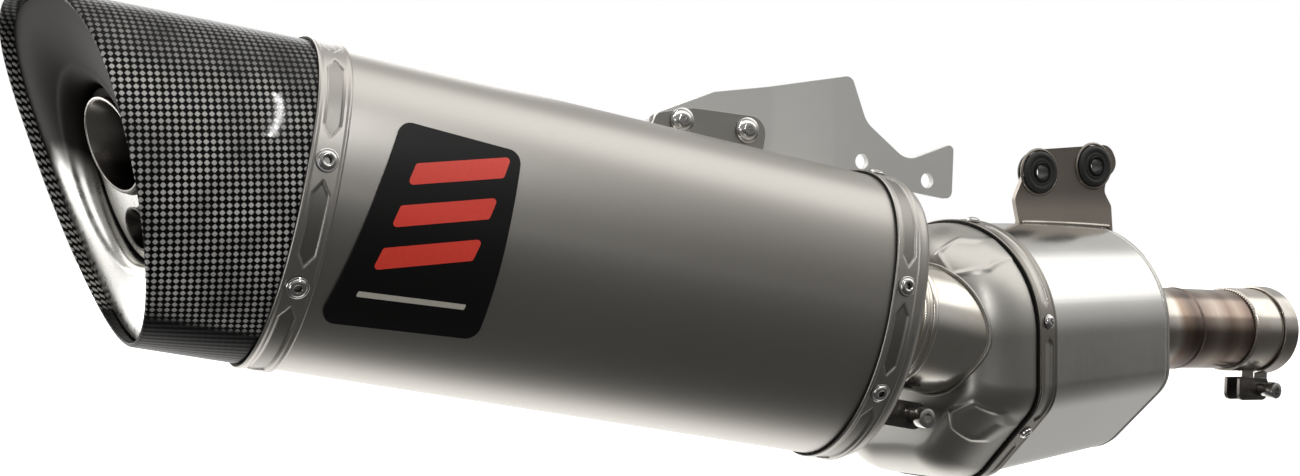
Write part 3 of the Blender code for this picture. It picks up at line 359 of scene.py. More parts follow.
def dish_satin():
    """Satin steel with painted shade, a dark brown veil, over its upper part, and darker at its lowest.
    """
    paint = Paint("dish_satin", (0.7, 0.69, 0.66), 0.28)
    streaks = paint.noise(260.0, (0.2, 1.0, 1.0), 3.0)
    base_tone = paint.mix(streaks, (0.60, 0.59, 0.56), (0.74, 0.73, 0.70))
    cloud = paint.maths("MULTIPLY", paint.noise(30.0, detail=3.0), 0.03)
    height = paint.maths("ADD", paint.axes()[2], cloud)
    # Painted shade: dark brown over the dish's upper part; the dish also darkens towards its lowest.
    darkening = paint.remap(height, *DISH_SHADE_HEIGHTS, 0.0, 1.0, True)
    darker_below = paint.remap(height, *DISH_DARK_BELOW, 0.0, 0.9, True)
    dark_share = paint.maths("MAXIMUM", darkening, darker_below)
    paint.colour(paint.mix(dark_share, base_tone, (0.022, 0.02, 0.018)))
    satin = paint.remap(streaks, 0.3, 0.7, 0.24, 0.36)
    paint.rough(paint.maths("MAXIMUM", satin, paint.maths("MULTIPLY", dark_share, 0.65)))
    return paint.material


def outlet_steel():
    """Tube metal that gets darker further in."""
    paint = Paint("outlet_steel", (0.4, 0.38, 0.35), 0.26)
    along = paint.axes()[0]
    # Darker further into the tube.
    darkening = paint.remap(along, -0.075, -0.05, 0.0, 1.0, True)
    smear = paint.noise(60.0, (0.3, 1.0, 1.0), 4.0)
    base_tone = paint.mix(smear, (0.40, 0.38, 0.35), (0.28, 0.265, 0.25))
    paint.colour(paint.mix(darkening, base_tone, (0.05, 0.046, 0.042)))
    paint.rough(paint.remap(smear, 0.3, 0.7, 0.2, 0.36))
    paint.bump(smear, 0.15, 0.04)
    return paint.material


TITANIUM = blasted_titanium("blasted_titanium", ((0.385, 0.37, 0.345), (0.43, 0.415, 0.39)))
# Painted shade: a darker copy of the blasted titanium for the floors of the bands' pressed panels.
RECESS_SHADE_TITANIUM = blasted_titanium("recess_titanium", ((0.25, 0.24, 0.225), (0.29, 0.28, 0.26)))
CARBON = carbon_weave()
DISH = dish_satin()
TUBE_STEEL = outlet_steel()
# Painted shadow: near-black for the band walls, the rivet bores and the rear cap's joint.
SEAM_SHADOW = grained(
    "seam_shadow", ((0.008, 0.008, 0.007), (0.02, 0.018, 0.016)), (500.0,), (0.7, 0.7), metallic=0.0,
    specular_ior_level=0.2
)
BRUSHED_STEEL = brushed(
    "brushed_stainless", (0.56, 0.555, 0.535), (0.66, 0.655, 0.635), (0.17, 0.26), 700.0,
    (1.0, 0.25, 0.25), 0.012
)
CAP_STEEL = brushed(
    "pressed_stainless", (0.37, 0.36, 0.335), (0.46, 0.45, 0.42), (0.32, 0.42), 800.0,
    (0.6, 1.0, 1.0), 0.01
)
BAND_STEEL = brushed(
    "band_stainless", (0.22, 0.205, 0.185), (0.31, 0.29, 0.265), (0.28, 0.4), 500.0, (0.6, 1.0, 1.0), 0.01
)
BLACK_STEEL = polished("black_steel", (0.025, 0.025, 0.025), 0.4)
LINK_STEEL = polished("link_steel", (0.66, 0.64, 0.60), 0.2, (0.60, 0.56, 0.49))
GOLD_STEEL = polished("straw_steel", (0.74, 0.66, 0.50), 0.16, (0.62, 0.54, 0.42))
COLLAR_STEEL = polished("collar_steel", (0.60, 0.57, 0.52), 0.22, (0.46, 0.41, 0.35))
CLAMP_STEEL = polished("clamp_steel", (0.50, 0.48, 0.45), 0.2, (0.36, 0.33, 0.29))
SCREW_STEEL = polished("screw_steel", (0.62, 0.61, 0.60), 0.16, (0.50, 0.49, 0.47))
# Near-black steel: painted shade for the clamp lugs and the muffler clamp's barrel nut.
PAINTED_SHADE_STEEL = polished("dark_steel", (0.10, 0.095, 0.09), 0.3, (0.18, 0.165, 0.15))
BRACKET_STEEL = brushed(
    "bracket_steel", (0.20, 0.175, 0.15), (0.30, 0.27, 0.24), (0.34, 0.48), 700.0, (1.0, 1.0, 0.1), 0.05
)
WELD_STEEL = polished("weld_steel", (0.46, 0.43, 0.39), 0.26, (0.33, 0.29, 0.25))
HEAT_TINT = heat_tinted()
PLATE = grained(
    "matt_plate", ((0.56, 0.56, 0.545), (0.64, 0.64, 0.62)), (1400.0, (1.0, 1.0, 0.25)), (0.46, 0.6),
    (0.3, 0.05), (22.0,), 0.3
)
RUBBER = grained(
    "moulded_rubber", ((0.009, 0.009, 0.009), (0.022, 0.022, 0.022)), (900.0,), (0.42, 0.7), (0.3, 0.08),
    metallic=0.0
)
WOOL = grained(
    "packing_wool", ((0.50, 0.45, 0.32), (0.82, 0.78, 0.66)), (420.0, (1.0, 0.2, 1.0), 6.0), (0.95, 0.95),
    (1.0, 0.8), metallic=0.0
)
BADGE = grained(
    "badge_enamel", ((0.003, 0.003, 0.003), (0.006, 0.006, 0.006)), (700.0,), (0.4, 0.4), (0.1, 0.02),
    metallic=0.0, specular_ior_level=0.25
)
STRIPE = stripe_paint("stripe_red", (0.90, 0.065, 0.04))
STRIPE_PALE = stripe_paint("stripe_pale", (0.62, 0.60, 0.52))


# ---------------------------------------------------------------- mesh tools

def finish_piece(name, body, matrix, rides, material, nodes=(), sharp=32.0):
    """Turn a bmesh in millimetres into a piece that rides on a CAD body.

    material is one material, or a list that the faces' material numbers point into.
    """
    bmesh.ops.scale(body, vec=(MM, MM, MM), verts=body.verts)
    mesh = bpy.data.meshes.new(name)
    body.to_mesh(mesh)
    body.free()
    mesh.shade_smooth()
    if sharp:
        mesh.set_sharp_from_angle(angle=math.radians(sharp))
    for one in material if isinstance(material, (list, tuple)) else [material]:
        mesh.materials.append(one)
    piece = bpy.data.objects.new(name, mesh)
    bpy.context.scene.collection.objects.link(piece)
    placed = matrix.copy()
    placed.translation = matrix.translation * MM
    piece.matrix_world = placed
    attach(piece, rides)
    if nodes:
        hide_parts(*nodes)
    return piece


def soften(piece, width, segments=2, angle=35.0):
    """Round the piece's hard edges."""
    bevel = piece.modifiers.new("soft_edges", "BEVEL")
    bevel.width = width * MM
    bevel.segments = segments
    bevel.limit_method = "ANGLE"
    bevel.angle_limit = math.radians(angle)
    bevel.harden_normals = True
    return piece


def loft(rings, wrap=False, caps=False, mapping=None, closed=True):
    """Skin equal rings. mapping gives (u, v) for a ring and column number."""
    body = bmesh.new()
    layer = body.loops.layers.uv.new("UVMap") if mapping else None
    count = len(rings[0])
    verts = [[body.verts.new(point) for point in ring] for ring in rings]
    last = len(rings) if wrap else len(rings) - 1
    for r in range(last):
        ring_a = verts[r]
        ring_b = verts[(r + 1) % len(rings)]
        for i in range(count if closed else count - 1):
            j = (i + 1) % count
            face = body.faces.new((ring_a[i], ring_a[j], ring_b[j], ring_b[i]))
            if mapping:
                marks = ((r, i), (r, i + 1), (r + 1, i + 1), (r + 1, i))
                for loop, (row, column) in zip(face.loops, marks):
                    loop[layer].uv = mapping(row, column)
    if caps:
        body.faces.new(list(reversed(verts[0])))
        body.faces.new(verts[-1])
    bmesh.ops.recalc_face_normals(body, faces=body.faces)
    return body


def circle(x, radius, y=0.0, z=0.0, steps=ROUND):
    """Ring across X round the line through (y, z)."""
    angles = (2 * math.pi * i / steps for i in range(steps))
    return [(x, y + radius * math.sin(a), z + radius * math.cos(a)) for a in angles]


def turned(profile, y=0.0, z=0.0, steps=ROUND, wrap=True, caps=False):
    """Turn (x, radius) pairs around the line through (y, z) along X."""
    return loft([circle(x, radius, y, z, steps) for x, radius in profile], wrap, caps)


def swing(body, angle, axis):
    bmesh.ops.rotate(body, matrix=Matrix.Rotation(angle, 3, axis), verts=body.verts)
    return body


def shift(body, offset):
    bmesh.ops.translate(body, vec=offset, verts=body.verts)
    return body


def join(bodies):
    """Put several bmeshes into the first one."""
    first = bodies[0]
    for body in bodies[1:]:
        mesh = bpy.data.meshes.new("joined")
        body.to_mesh(mesh)
        body.free()
        first.from_mesh(mesh)
        bpy.data.meshes.remove(mesh)
    return first


def cut(body, *cutters):
    """Take the cutters' solids out of a bmesh."""
    meshes = []
    for item in (body, *cutters):
        mesh = bpy.data.meshes.new("cut")
        item.to_mesh(mesh)
        item.free()
        meshes.append(mesh)
    objects = [bpy.data.objects.new("cut", mesh) for mesh in meshes]
    for item in objects:
        bpy.context.scene.collection.objects.link(item)
    for cutter in objects[1:]:
        modifier = objects[0].modifiers.new("cut", "BOOLEAN")
        modifier.operation = "DIFFERENCE"
        modifier.solver = "EXACT"
        modifier.object = cutter
    evaluated = objects[0].evaluated_get(bpy.context.evaluated_depsgraph_get())
    result = bmesh.new()
    result.from_mesh(evaluated.to_mesh())
    evaluated.to_mesh_clear()
    for item in objects:
        bpy.data.objects.remove(item)
    for mesh in meshes:
        bpy.data.meshes.remove(mesh)
    return result


def smoothstep(value):
    value = min(1.0, max(0.0, value))
    return value * value * (3 - 2 * value)


def arc_corner(before, corner, after, radius, steps):
    """Points of a round corner between two straight edges."""
    to_before = (before - corner).normalized()
    to_after = (after - corner).normalized()
    half = to_before.angle(to_after) / 2
    reach = radius / math.tan(half)
    start = corner + to_before * reach
    centre = corner + (to_before + to_after).normalized() * radius / math.sin(half)
    sweep = math.pi - 2 * half
    turn = 1 if to_before.cross(to_after) < 0 else -1
    spoke = start - centre
    return [centre + Matrix.Rotation(turn * sweep * i / steps, 2) @ spoke for i in range(steps + 1)]


def rounded_outline(corners, steps=8):
    """Closed outline from (x, y, radius) corners; radius 0 keeps a sharp point."""
    points = []
    for i, (x, y, radius) in enumerate(corners):
        corner = Vector((x, y))
        before = Vector(corners[i - 1][:2])
        after = Vector(corners[(i + 1) % len(corners)][:2])
        if radius == 0:
            points.append(corner)
        else:
            points.extend(arc_corner(before, corner, after, radius, steps))
    return points


def resample(points, count):
    """Spread points evenly along a closed outline."""
    closed = list(points) + [points[0]]
    lengths = [0.0]
    for a, b in zip(closed, closed[1:]):
        lengths.append(lengths[-1] + (b - a).length)
    spread = []
    k = 0
    for i in range(count):
        target = lengths[-1] * i / count
        while lengths[k + 1] < target:
            k += 1
        share = (target - lengths[k]) / max(1e-9, lengths[k + 1] - lengths[k])
        spread.append(closed[k].lerp(closed[k + 1], share))
    return spread


def ring_lengths(ring):
    """Running length around a closed ring, with the whole length last."""
    total = [0.0]
    for a, b in zip(ring, list(ring[1:]) + [ring[0]]):
        total.append(total[-1] + (Vector(b) - Vector(a)).length)
    return total


def plate(outline, thickness, place):
    """Solid plate from an outline; place(u, v, w) gives the point at depth w."""
    near = [place(p[0], p[1], 0.0) for p in outline]
    far = [place(p[0], p[1], thickness) for p in outline]
    return loft([near, far], caps=True)


def bent_sheet(outline, cuts, bend, thickness, outward):
    """Cut an outline across v, bend it, and thicken it by offsets along its normals."""
    sheet = bmesh.new()
    sheet.faces.new([sheet.verts.new((p[0], p[1], 0.0)) for p in outline])
    for value in cuts:
        parts = list(sheet.verts) + list(sheet.edges) + list(sheet.faces)
        bmesh.ops.bisect_plane(
            sheet, geom=parts, dist=0.0001, plane_co=(0, value, 0), plane_no=(0, 1, 0)
        )
    for vert in sheet.verts:
        vert.co = Vector(bend(vert.co.x, vert.co.y))
    bmesh.ops.recalc_face_normals(sheet, faces=sheet.faces)
    sheet.normal_update()
    faces = list(sheet.faces)
    average = sum((face.normal * face.calc_area() for face in faces), Vector())
    if average.dot(Vector(outward)) < 0:
        bmesh.ops.reverse_faces(sheet, faces=faces)
    sheet.normal_update()
    offsets = {vert: vert.normal * thickness for vert in sheet.verts}
    copy = {vert: sheet.verts.new(vert.co + offsets[vert]) for vert in list(sheet.verts)}
    edges = [edge for edge in sheet.edges if edge.is_boundary]
    for edge in edges:
        a, b = edge.verts
        sheet.faces.new((a, b, copy[b], copy[a]))
    for face in faces:
        sheet.faces.new([copy[vert] for vert in face.verts])
    bmesh.ops.recalc_face_normals(sheet, faces=sheet.faces)
    return sheet


def bead(points, radius, ripple=2.2, lift=None, closed=True, steps=10, swell=0.16):
    """Weld bead along points: a tube whose radius swells in even ripples."""
    path = [Vector(point) for point in points]
    rings = []
    travelled = 0.0
    count = len(path)
    for i, point in enumerate(path):
        after = path[(i + 1) % count] if closed or i < count - 1 else point
        before = path[i - 1] if closed or i > 0 else point
        along = (after - before).normalized()
        if i:
            travelled += (point - path[i - 1]).length
        wave = 1.0 + swell * math.cos(2 * math.pi * travelled / ripple)
        side = along.cross(Vector(lift or (0.3, 0.5, 0.8))).normalized()
        up = side.cross(along)
        size = radius * wave
        turns = (2 * math.pi * k / steps for k in range(steps))
        rings.append([point + side * size * math.cos(t) + up * size * math.sin(t) for t in turns])
    return loft(rings, wrap=closed, caps=not closed)


def dense(points, spacing=0.5, closed=True):
    """More points along straight runs, so that a bead's ripples show."""
    path = [Vector(point) for point in points]
    made = []
    for a, b in zip(path, path[1:] + path[:1] if closed else path[1:]):
        steps = max(1, int((b - a).length / spacing))
        made.extend(a.lerp(b, k / steps) for k in range(steps))
    if not closed:
        made.append(path[-1])
    return made


# ---------------------------------------------------------------- muffler

def top_height(x):
    return TOP + TOP_GROWTH * x


def oval_point(i, steps, half, top, bottom, powers):
    """(y, z) of point i round an oval, with its own height and power above and below."""
    angle = 2 * math.pi * i / steps
    sine = math.sin(angle)
    cosine = math.cos(angle)
    height = top if cosine >= 0 else bottom
    power = powers[0] if cosine >= 0 else powers[1]
    y = half * math.copysign(abs(sine) ** power, sine)
    return (y, height * math.copysign(abs(cosine) ** power, cosine))


def section_point(x, i, inset=0.0, side=0.0, top=0.0, steps=AROUND):
    """Point i of the ring of the muffler's form at x."""
    heights = (top_height(x) - inset - top, BOTTOM - inset)
    powers = (2 / TOP_POWER, 2 / BOTTOM_POWER)
    y, z = oval_point(i, steps, HALF_WIDTH - inset - side, *heights, powers)
    return (x, y, WAIST + z)


def section(x, inset=0.0, side=0.0, top=0.0, steps=AROUND):
    """Ring of the muffler's form at x."""
    return [section_point(x, i, inset, side, top, steps) for i in range(steps)]


def even_section(x, inset=0.0, count=AROUND):
    """The same ring with its points spread evenly."""
    points = resample([Vector(point) for point in section(x, inset, steps=1440)], count)
    return [tuple(point) for point in points]


def section_side(x, z, inset=0.0):
    if z >= WAIST:
        share = (z - WAIST) / (top_height(x) - inset)
        power = TOP_POWER
    else:
        share = (WAIST - z) / (BOTTOM - inset)
        power = BOTTOM_POWER
    return (HALF_WIDTH - inset) * (1 - share ** power) ** (1 / power)


def section_top(x, y):
    share = abs(y) / HALF_WIDTH
    return WAIST + top_height(x) * (1 - share ** TOP_POWER) ** (1 / TOP_POWER)


def rim_x(y, z):
    """The cap's slanting, slightly curved rim."""
    return -(79.5 + 0.49 * z + 0.0004 * z * z + (0.206 + 0.0012 * z) * y)


def mouth_x(y, z, depth=0.0):
    """The plane of the dish's mouth, or of one depth behind it."""
    return -(69.0 + 0.5 * z + 0.35 * y) + depth


def cap_ring(share, inset, back=0.0):
    """Ring of the carbon cap: share 0 is its joint and 1 its rim, less the distance back."""
    ring = []
    for i, (_, y, z) in enumerate(section(0.0, inset, *CAP_TAPER)):
        x = (rim_x(y, z) + back) * share
        taper = -x / CAP_LENGTH
        ring.append(section_point(x, i, inset, CAP_TAPER[0] * taper, CAP_TAPER[1] * taper))
    return ring


def make_sleeve():
    rings = []
    steps = 24
    for k in range(steps + 1):
        x = SLEEVE[0] + (SLEEVE[1] - SLEEVE[0]) * k / steps
        rings.append(section(x))
    rings.append(section(SLEEVE[1], SHEET))
    rings.append(section(SLEEVE[0], SHEET))
    finish_piece("muffler_sleeve_skin", loft(rings, wrap=True), MUFFLER, "muffler",
                 TITANIUM, ["muffler_sleeve"])


def make_end_cap():
    """Carbon cap: outer skin, rounded rim, inner wall and the socket inside the sleeve."""
    rings = [cap_ring(k / CAP_ROWS, 0.0) for k in range(CAP_ROWS)]
    rounding = (
        (0.0, 1.0), (0.3, 0.3), (1.0, 0.0), (1.7, 0.3), (2.0, 1.0), (2.0, 5.0), (2.0, 10.0), (2.0, 18.0),
    )
    rings += [cap_ring(1.0, inset, back) for inset, back in rounding]
    rings += [cap_ring(share, CAP_WALL) for share in (0.66, 0.33)]
    socket = ((-2.0, 3.5), (13.0, 3.5), (13.0, 1.5), (0.7, 1.5), (0.7, 0.0))
    rings += [section(x, inset) for x, inset in socket]
    around = ring_lengths(rings[0])
    along = [0.0]
    for a, b in zip(rings, rings[1:]):
        gaps = [(Vector(p) - Vector(q)).length for p, q in zip(a[::12], b[::12])]
        along.append(along[-1] + sum(gaps) / len(gaps))

    def mapping(row, column):
        row = row % len(rings)
        if row <= CAP_ROWS:
            return (around[column], rings[row][column % AROUND][0])
        tip = rings[CAP_ROWS][column % AROUND][0]
        return (around[column], tip - (along[row] - along[CAP_ROWS]))

    body = loft(rings, wrap=True, mapping=mapping)
    finish_piece("carbon_end_cap_skin", body, MUFFLER, "muffler", CARBON, ["carbon_end_cap"])


def mouth_ring(depth, inset):
    """Ring of the oval mouth in the dish."""
    half, high = MOUTH_HALF
    ring = []
    for i in range(AROUND):
        y, z = oval_point(i, AROUND, half - inset, high - inset, high - inset, (0.9, 0.9))
        y += MOUTH_CENTRE[0]
        z += MOUTH_CENTRE[1]
        ring.append((mouth_x(y, z, depth), y, z))
    return ring


def make_dish():
    """Sheet that closes the cap inside its rim and rolls over into the mouth."""
    outer_inset = CAP_WALL + GAP
    socket, bend, turn_in, face = DISH_DEPTHS
    outer = cap_ring(1.0, outer_inset, face)
    rings = [cap_ring(1.0, outer_inset, socket), cap_ring(1.0, outer_inset, bend)]
    rings.append(cap_ring(1.0, outer_inset + 0.3, turn_in))
    edge = mouth_ring(0.0, ROLL_START)
    steps = 28
    for k in range(steps + 1):
        share = k / steps
        across = 0.02 + 0.98 * share
        inward = 0.55 * share + 0.45 * share ** 1.8
        ring = []
        for a, b in zip(outer, edge):
            point = (
                a[0] + (b[0] - a[0]) * inward,
                a[1] + (b[1] - a[1]) * across,
                a[2] + (b[2] - a[2]) * across,
            )
            ring.append(point)
        rings.append(ring)
    for k in range(1, 13):
        turn = math.pi / 2 * k / 12
        depth = ROLL_RADIUS * (1 - math.cos(turn))
        rings.append(mouth_ring(depth, ROLL_START + ROLL_RADIUS * math.sin(turn)))
    rings.append(mouth_ring(13.0, 1.6))
    body = loft(rings)
    piece = finish_piece("outlet_dish_skin", body, MUFFLER, "muffler", DISH,
                         ["outlet_dish"], sharp=50)
    solid = piece.modifiers.new("thickness", "SOLIDIFY")
    solid.thickness = DISH_SHEET * MM
    solid.offset = -1


def make_outlet_tube(node, y, z, radius, bore):
    """Outlet tube cut parallel to the mouth, with a rounded end."""
    middle = (radius + bore) / 2
    inner_end = 70.0
    lip = [
        (radius, 7.0), (radius - 0.1, 6.6), (middle, 6.4), (bore + 0.1, 6.6), (bore, 7.0),
        (bore - 0.05, 16.0),
    ]
    rings = [circle(inner_end, radius, y, z)]
    for size, depth in lip:
        rings.append([(mouth_x(py, pz, depth), py, pz) for _, py, pz in circle(0.0, size, y, z)])
    rings.append(circle(inner_end, bore, y, z))
    body = loft(rings, wrap=True)
    finish_piece(f"{node}_skin", body, MUFFLER, "muffler", TUBE_STEEL, [node], sharp=60)


def rivet_places(x, crown_y):
    """(y, z, lean) of each rivet around the section; lean is measured from +Z."""
    slope = section_top(x, crown_y + 0.5) - section_top(x, crown_y - 0.5)
    places = [(crown_y, section_top(x, crown_y), math.atan2(-slope, 1.0))]
    for side in (-1, 1):
        for z in RIVET_HEIGHTS:
            y = section_side(x, z)
            slope = section_side(x, z + 0.5) - section_side(x, z - 0.5)
            places.append((side * y, z, side * math.atan2(1.0, -slope)))
    return places


def panel_relief(along, length, across, half, taper):
    """1 well inside a pressed panel with tapered ends, 0 outside it."""
    end = min(along, length - along)
    if end <= 0:
        return 0.0
    width = half * min(1.0, end / taper)
    return smoothstep((width - abs(across)) / PANEL_RAMP)


def panels_between(stops, total, keep, longest):
    """(start, length) of the panels between neighbouring rivets."""
    panels = []
    stops = sorted(stops)
    for a, b in zip(stops, stops[1:] + [stops[0] + total]):
        run = b - a - 2 * keep
        parts = max(1, math.ceil(run / longest))
        space = keep * 0.5
        each = (run - space * (parts - 1)) / parts
        for k in range(parts):
            panels.append((a + keep + k * (each + space), each))
    return panels


def relief_band(rings_at, middle, places, outer, half, taper, depth):
    """Band with raised borders, and pressed panels between its fasteners' places.

    rings_at(x, inset) gives a ring, and middle is the ring under the fasteners.
    Faces take material 1 inside the panels and 2, a painted shadow, on the side walls.
    """
    stops, total = ring_stops(middle, places)
    panels = panels_between(stops, total, PANEL_KEEP, PANEL_LONGEST)
    count = len(middle)
    width = BAND_WIDTH
    rows = int(width / BAND_ROW)
    rings = [rings_at(0.0, -GAP)]
    pressed = set()
    for r in range(rows + 1):
        x = width * r / rows
        across = x - width / 2
        edge = width / 2 - abs(across)
        border = smoothstep((BORDER_WIDTH - edge) / EDGE_ROUND) * BORDER_LIFT
        corner = max(0.0, EDGE_ROUND - edge)
        low = rings_at(x, outer + corner)
        high = rings_at(x, outer + corner - 1.0)
        ring = []
        for i in range(count):
            place = total * i / count
            relief = 0.0
            for start, length in panels:
                along = (place - start) % total
                if along < length:
                    relief = panel_relief(along, length, across, half, taper)
            if relief > PRESSED_SHARE:
                pressed.add((r + 1, i))
            lift = border - depth * relief
            ring.append(tuple(Vector(low[i]).lerp(Vector(high[i]), lift)))
        rings.append(ring)
    rings.append(rings_at(width, -GAP))
    body = loft(rings, wrap=True)
    walls = (0, rows + 1)
    for number, face in enumerate(body.faces):
        row, column = divmod(number, count)
        if (row, column) in pressed:
            face.material_index = 1
        if row in walls:
            face.material_index = 2
    return body


def ring_stops(ring, places):
    """How far round a ring the nearest point to each fastener lies, and the ring's length."""
    count = len(ring)
    total = ring_lengths(ring)[-1]
    stops = []
    for y, z, _ in places:
        near = min(range(count), key=lambda i: (ring[i][1] - y) ** 2 + (ring[i][2] - z) ** 2)
        stops.append(total * near / count)
    return stops, total


def make_band(end, start):
    """Riveted strap round one end of the sleeve."""
    x = start + BAND_RIVET
    ring = even_section(x, count=BAND_STEPS)
    body = relief_band(
        lambda along, inset: even_section(start + along, inset, BAND_STEPS), ring,
        rivet_places(x, BAND_CROWNS[end]), outer=-1.5, half=3.9, taper=6.0, depth=0.8,
    )
    # Painted shade inside the pressed panels, and painted shadow on the band's side walls.
    paints = [TITANIUM, RECESS_SHADE_TITANIUM, SEAM_SHADOW]
    finish_piece(f"{end}_band_pressed", body, MUFFLER, "muffler", paints, [f"{end}_band"],
                 sharp=60)


def rivet_body():
    """Hollow-headed rivet on a washer, along +Z, standing on a band."""
    profile = [
        (-4.5, 2.1), (1.8, 2.1), (1.8, 5.0), (2.15, 5.0), (2.35, 4.7), (2.35, 4.15), (2.5, 4.0),
        (3.1, 3.8), (3.5, 3.3), (3.65, 2.7), (3.6, 2.2), (3.3, 1.75), (2.6, 1.6), (0.4, 1.5),
    ]
    body = turned(profile, steps=40, wrap=False, caps=True)
    # Painted shade: the bore of the hollow head takes the near-black second material.
    for face in body.faces:
        centre = face.calc_center_median()
        if centre.x > 0.0 and math.hypot(centre.y, centre.z) < 1.64:
            face.material_index = 1
    return swing(body, -math.pi / 2, "Y")


def make_rivets(end, x):
    for number, (y, z, lean) in enumerate(rivet_places(x, BAND_CROWNS[end]), start=1):
        place = MUFFLER @ posed((x, y, z), (-lean, 0.0, 0.0))
        node = f"{end}_rivet_{number}"
        finish_piece(f"{node}_head", rivet_body(), place, "muffler",
                     [SCREW_STEEL, SEAM_SHADOW], [node])


def blend_rings(ring_a, ring_b, share, x):
    return [
        (x, a[1] + (b[1] - a[1]) * share, a[2] + (b[2] - a[2]) * share)
        for a, b in zip(ring_a, ring_b)
    ]


def make_muffler_front_cap():
    step = SHEET + GAP
    hole = circle(0.0, 35.9, 0.0, JOINT_Z, AROUND)
    rim = section(0.0, FRONT_ROUND)
    start = FRONT_BAND - 1.0
    end = SLEEVE[1] + GAP
    rings = [section(start, step), section(end, step), section(end), section(FRONT_SHOULDER)]
    for angle in (15, 30, 45, 60, 75, 90):
        turn = math.radians(angle)
        x = FRONT_SHOULDER + FRONT_ROUND * math.sin(turn)
        rings.append(section(x, FRONT_ROUND * (1 - math.cos(turn))))
    face = (
        (0.1, 323.9), (0.25, 323.2), (0.4, 322.0), (0.55, 320.7), (0.7, 319.4), (0.85, 318.2),
        (1.0, 317.5), (1.0, 316.0), (0.5, 319.5),
    )
    rings += [blend_rings(rim, hole, share, x) for share, x in face]
    inside = ((322.2, 8.5), (319.5, 3.4), (314.0, step + 1.5), (start, step + 1.5))
    rings += [section(x, inset) for x, inset in inside]
    finish_piece("muffler_front_cap_skin", loft(rings, wrap=True), MUFFLER, "muffler",
                 TITANIUM, ["muffler_front_cap"])
    weld = bead(dense(circle(318.3, 36.6, 0.0, JOINT_Z)), 1.5, lift=(1, 0, 0))
    finish_piece("sleeve_weld", weld, MUFFLER, "muffler", WELD_STEEL, sharp=0)


def slit_box(low, high, turn, z=0.0):
    body = bmesh.new()
    bmesh.ops.create_cube(body, size=1.0)
    for vert in body.verts:
        vert.co = Vector([low[n] if vert.co[n] < 0 else high[n] for n in range(3)])
    swing(body, math.radians(turn), "X")
    return shift(body, (0, 0, z))


def make_inlet_sleeve():
    profile = [
        (300.0, 35.6), (332.5, 35.6), (333.6, 36.1), (334.3, 36.0), (334.5, 35.5), (334.5, 34.4),
        (300.0, 34.4),
    ]
    body = turned(profile, 0.0, JOINT_Z)
    slits = [slit_box((321.0, -1.0, -40.0), (345.0, 1.0, 40.0), turn, JOINT_Z) for turn in (45, 135)]
    finish_piece("muffler_inlet_sleeve_skin", cut(body, *slits), MUFFLER, "muffler",
                 GOLD_STEEL, ["muffler_inlet_sleeve"])


def make_badge():
    """Enamel plate on the outboard flank, with plain slanted bars in its face."""
    corners = [(20.0, -49.0, 6.0), (92.0, -45.0, 6.0), (94.0, 39.0, 6.0), (37.5, 41.0, 6.0)]
    cuts = [value * 0.5 for value in range(-97, 82, 3)]

    def on_flank(outline, stand, thickness):
        def bend(x, z):
            return (x, -section_side(x, z, -GAP - stand), z)
        return bent_sheet(outline, cuts, bend, thickness, (0, -1, 0))

    body = on_flank(rounded_outline(corners), 0.0, 0.7)
    piece = finish_piece("badge_plate_face", body, MUFFLER, "muffler", BADGE,
                         ["badge_plate"], 50)
    soften(piece, 0.25, 2, 60)
    bars = [(f"badge_bar_{n}", STRIPE, 1.6, slanted_bar(low)) for n, low in enumerate(BAR_LOWS, 1)]
    line = [(33.0, -36.0), (33.4, -33.6), (82.0, -31.0), (81.6, -33.4)]
    bars.append(("badge_line", STRIPE_PALE, 0.5, line))
    for name, paint, radius, corners in bars:
        shape = rounded_outline([(x, z, radius) for x, z in corners], 4)
        bar = on_flank(shape, BADGE_SKIN, 0.12)
        finish_piece(name, bar, MUFFLER, "muffler", paint, sharp=50)


def slanted_bar(low):
    """Corners of one plain bar of the badge, which leans as the badge's rear edge does."""
    high = low + BAR_HEIGHT
    rear_low = BAR_REAR + BAR_LEAN * low
    rear_high = BAR_REAR + BAR_LEAN * high
    front_low = BAR_FRONT + BAR_LEAN * low
    front_high = BAR_FRONT + BAR_LEAN * high
    return [(rear_low, low), (rear_high, high - 3.0), (front_high, high + 9.0), (front_low, low + 12.0)]


def side_drill(x, z, radius, start, end):
    """Cylinder along Y from start to end, for cutting a hole."""
    angles = [2 * math.pi * i / DRILL_STEPS for i in range(DRILL_STEPS)]
    outline = [(x + radius * math.cos(a), z + radius * math.sin(a)) for a in angles]
    return plate(outline, end - start, lambda u, v, w: (u, start + w, v))


def moved(body, matrix):
    bmesh.ops.transform(body, matrix=matrix, verts=body.verts)
    return body


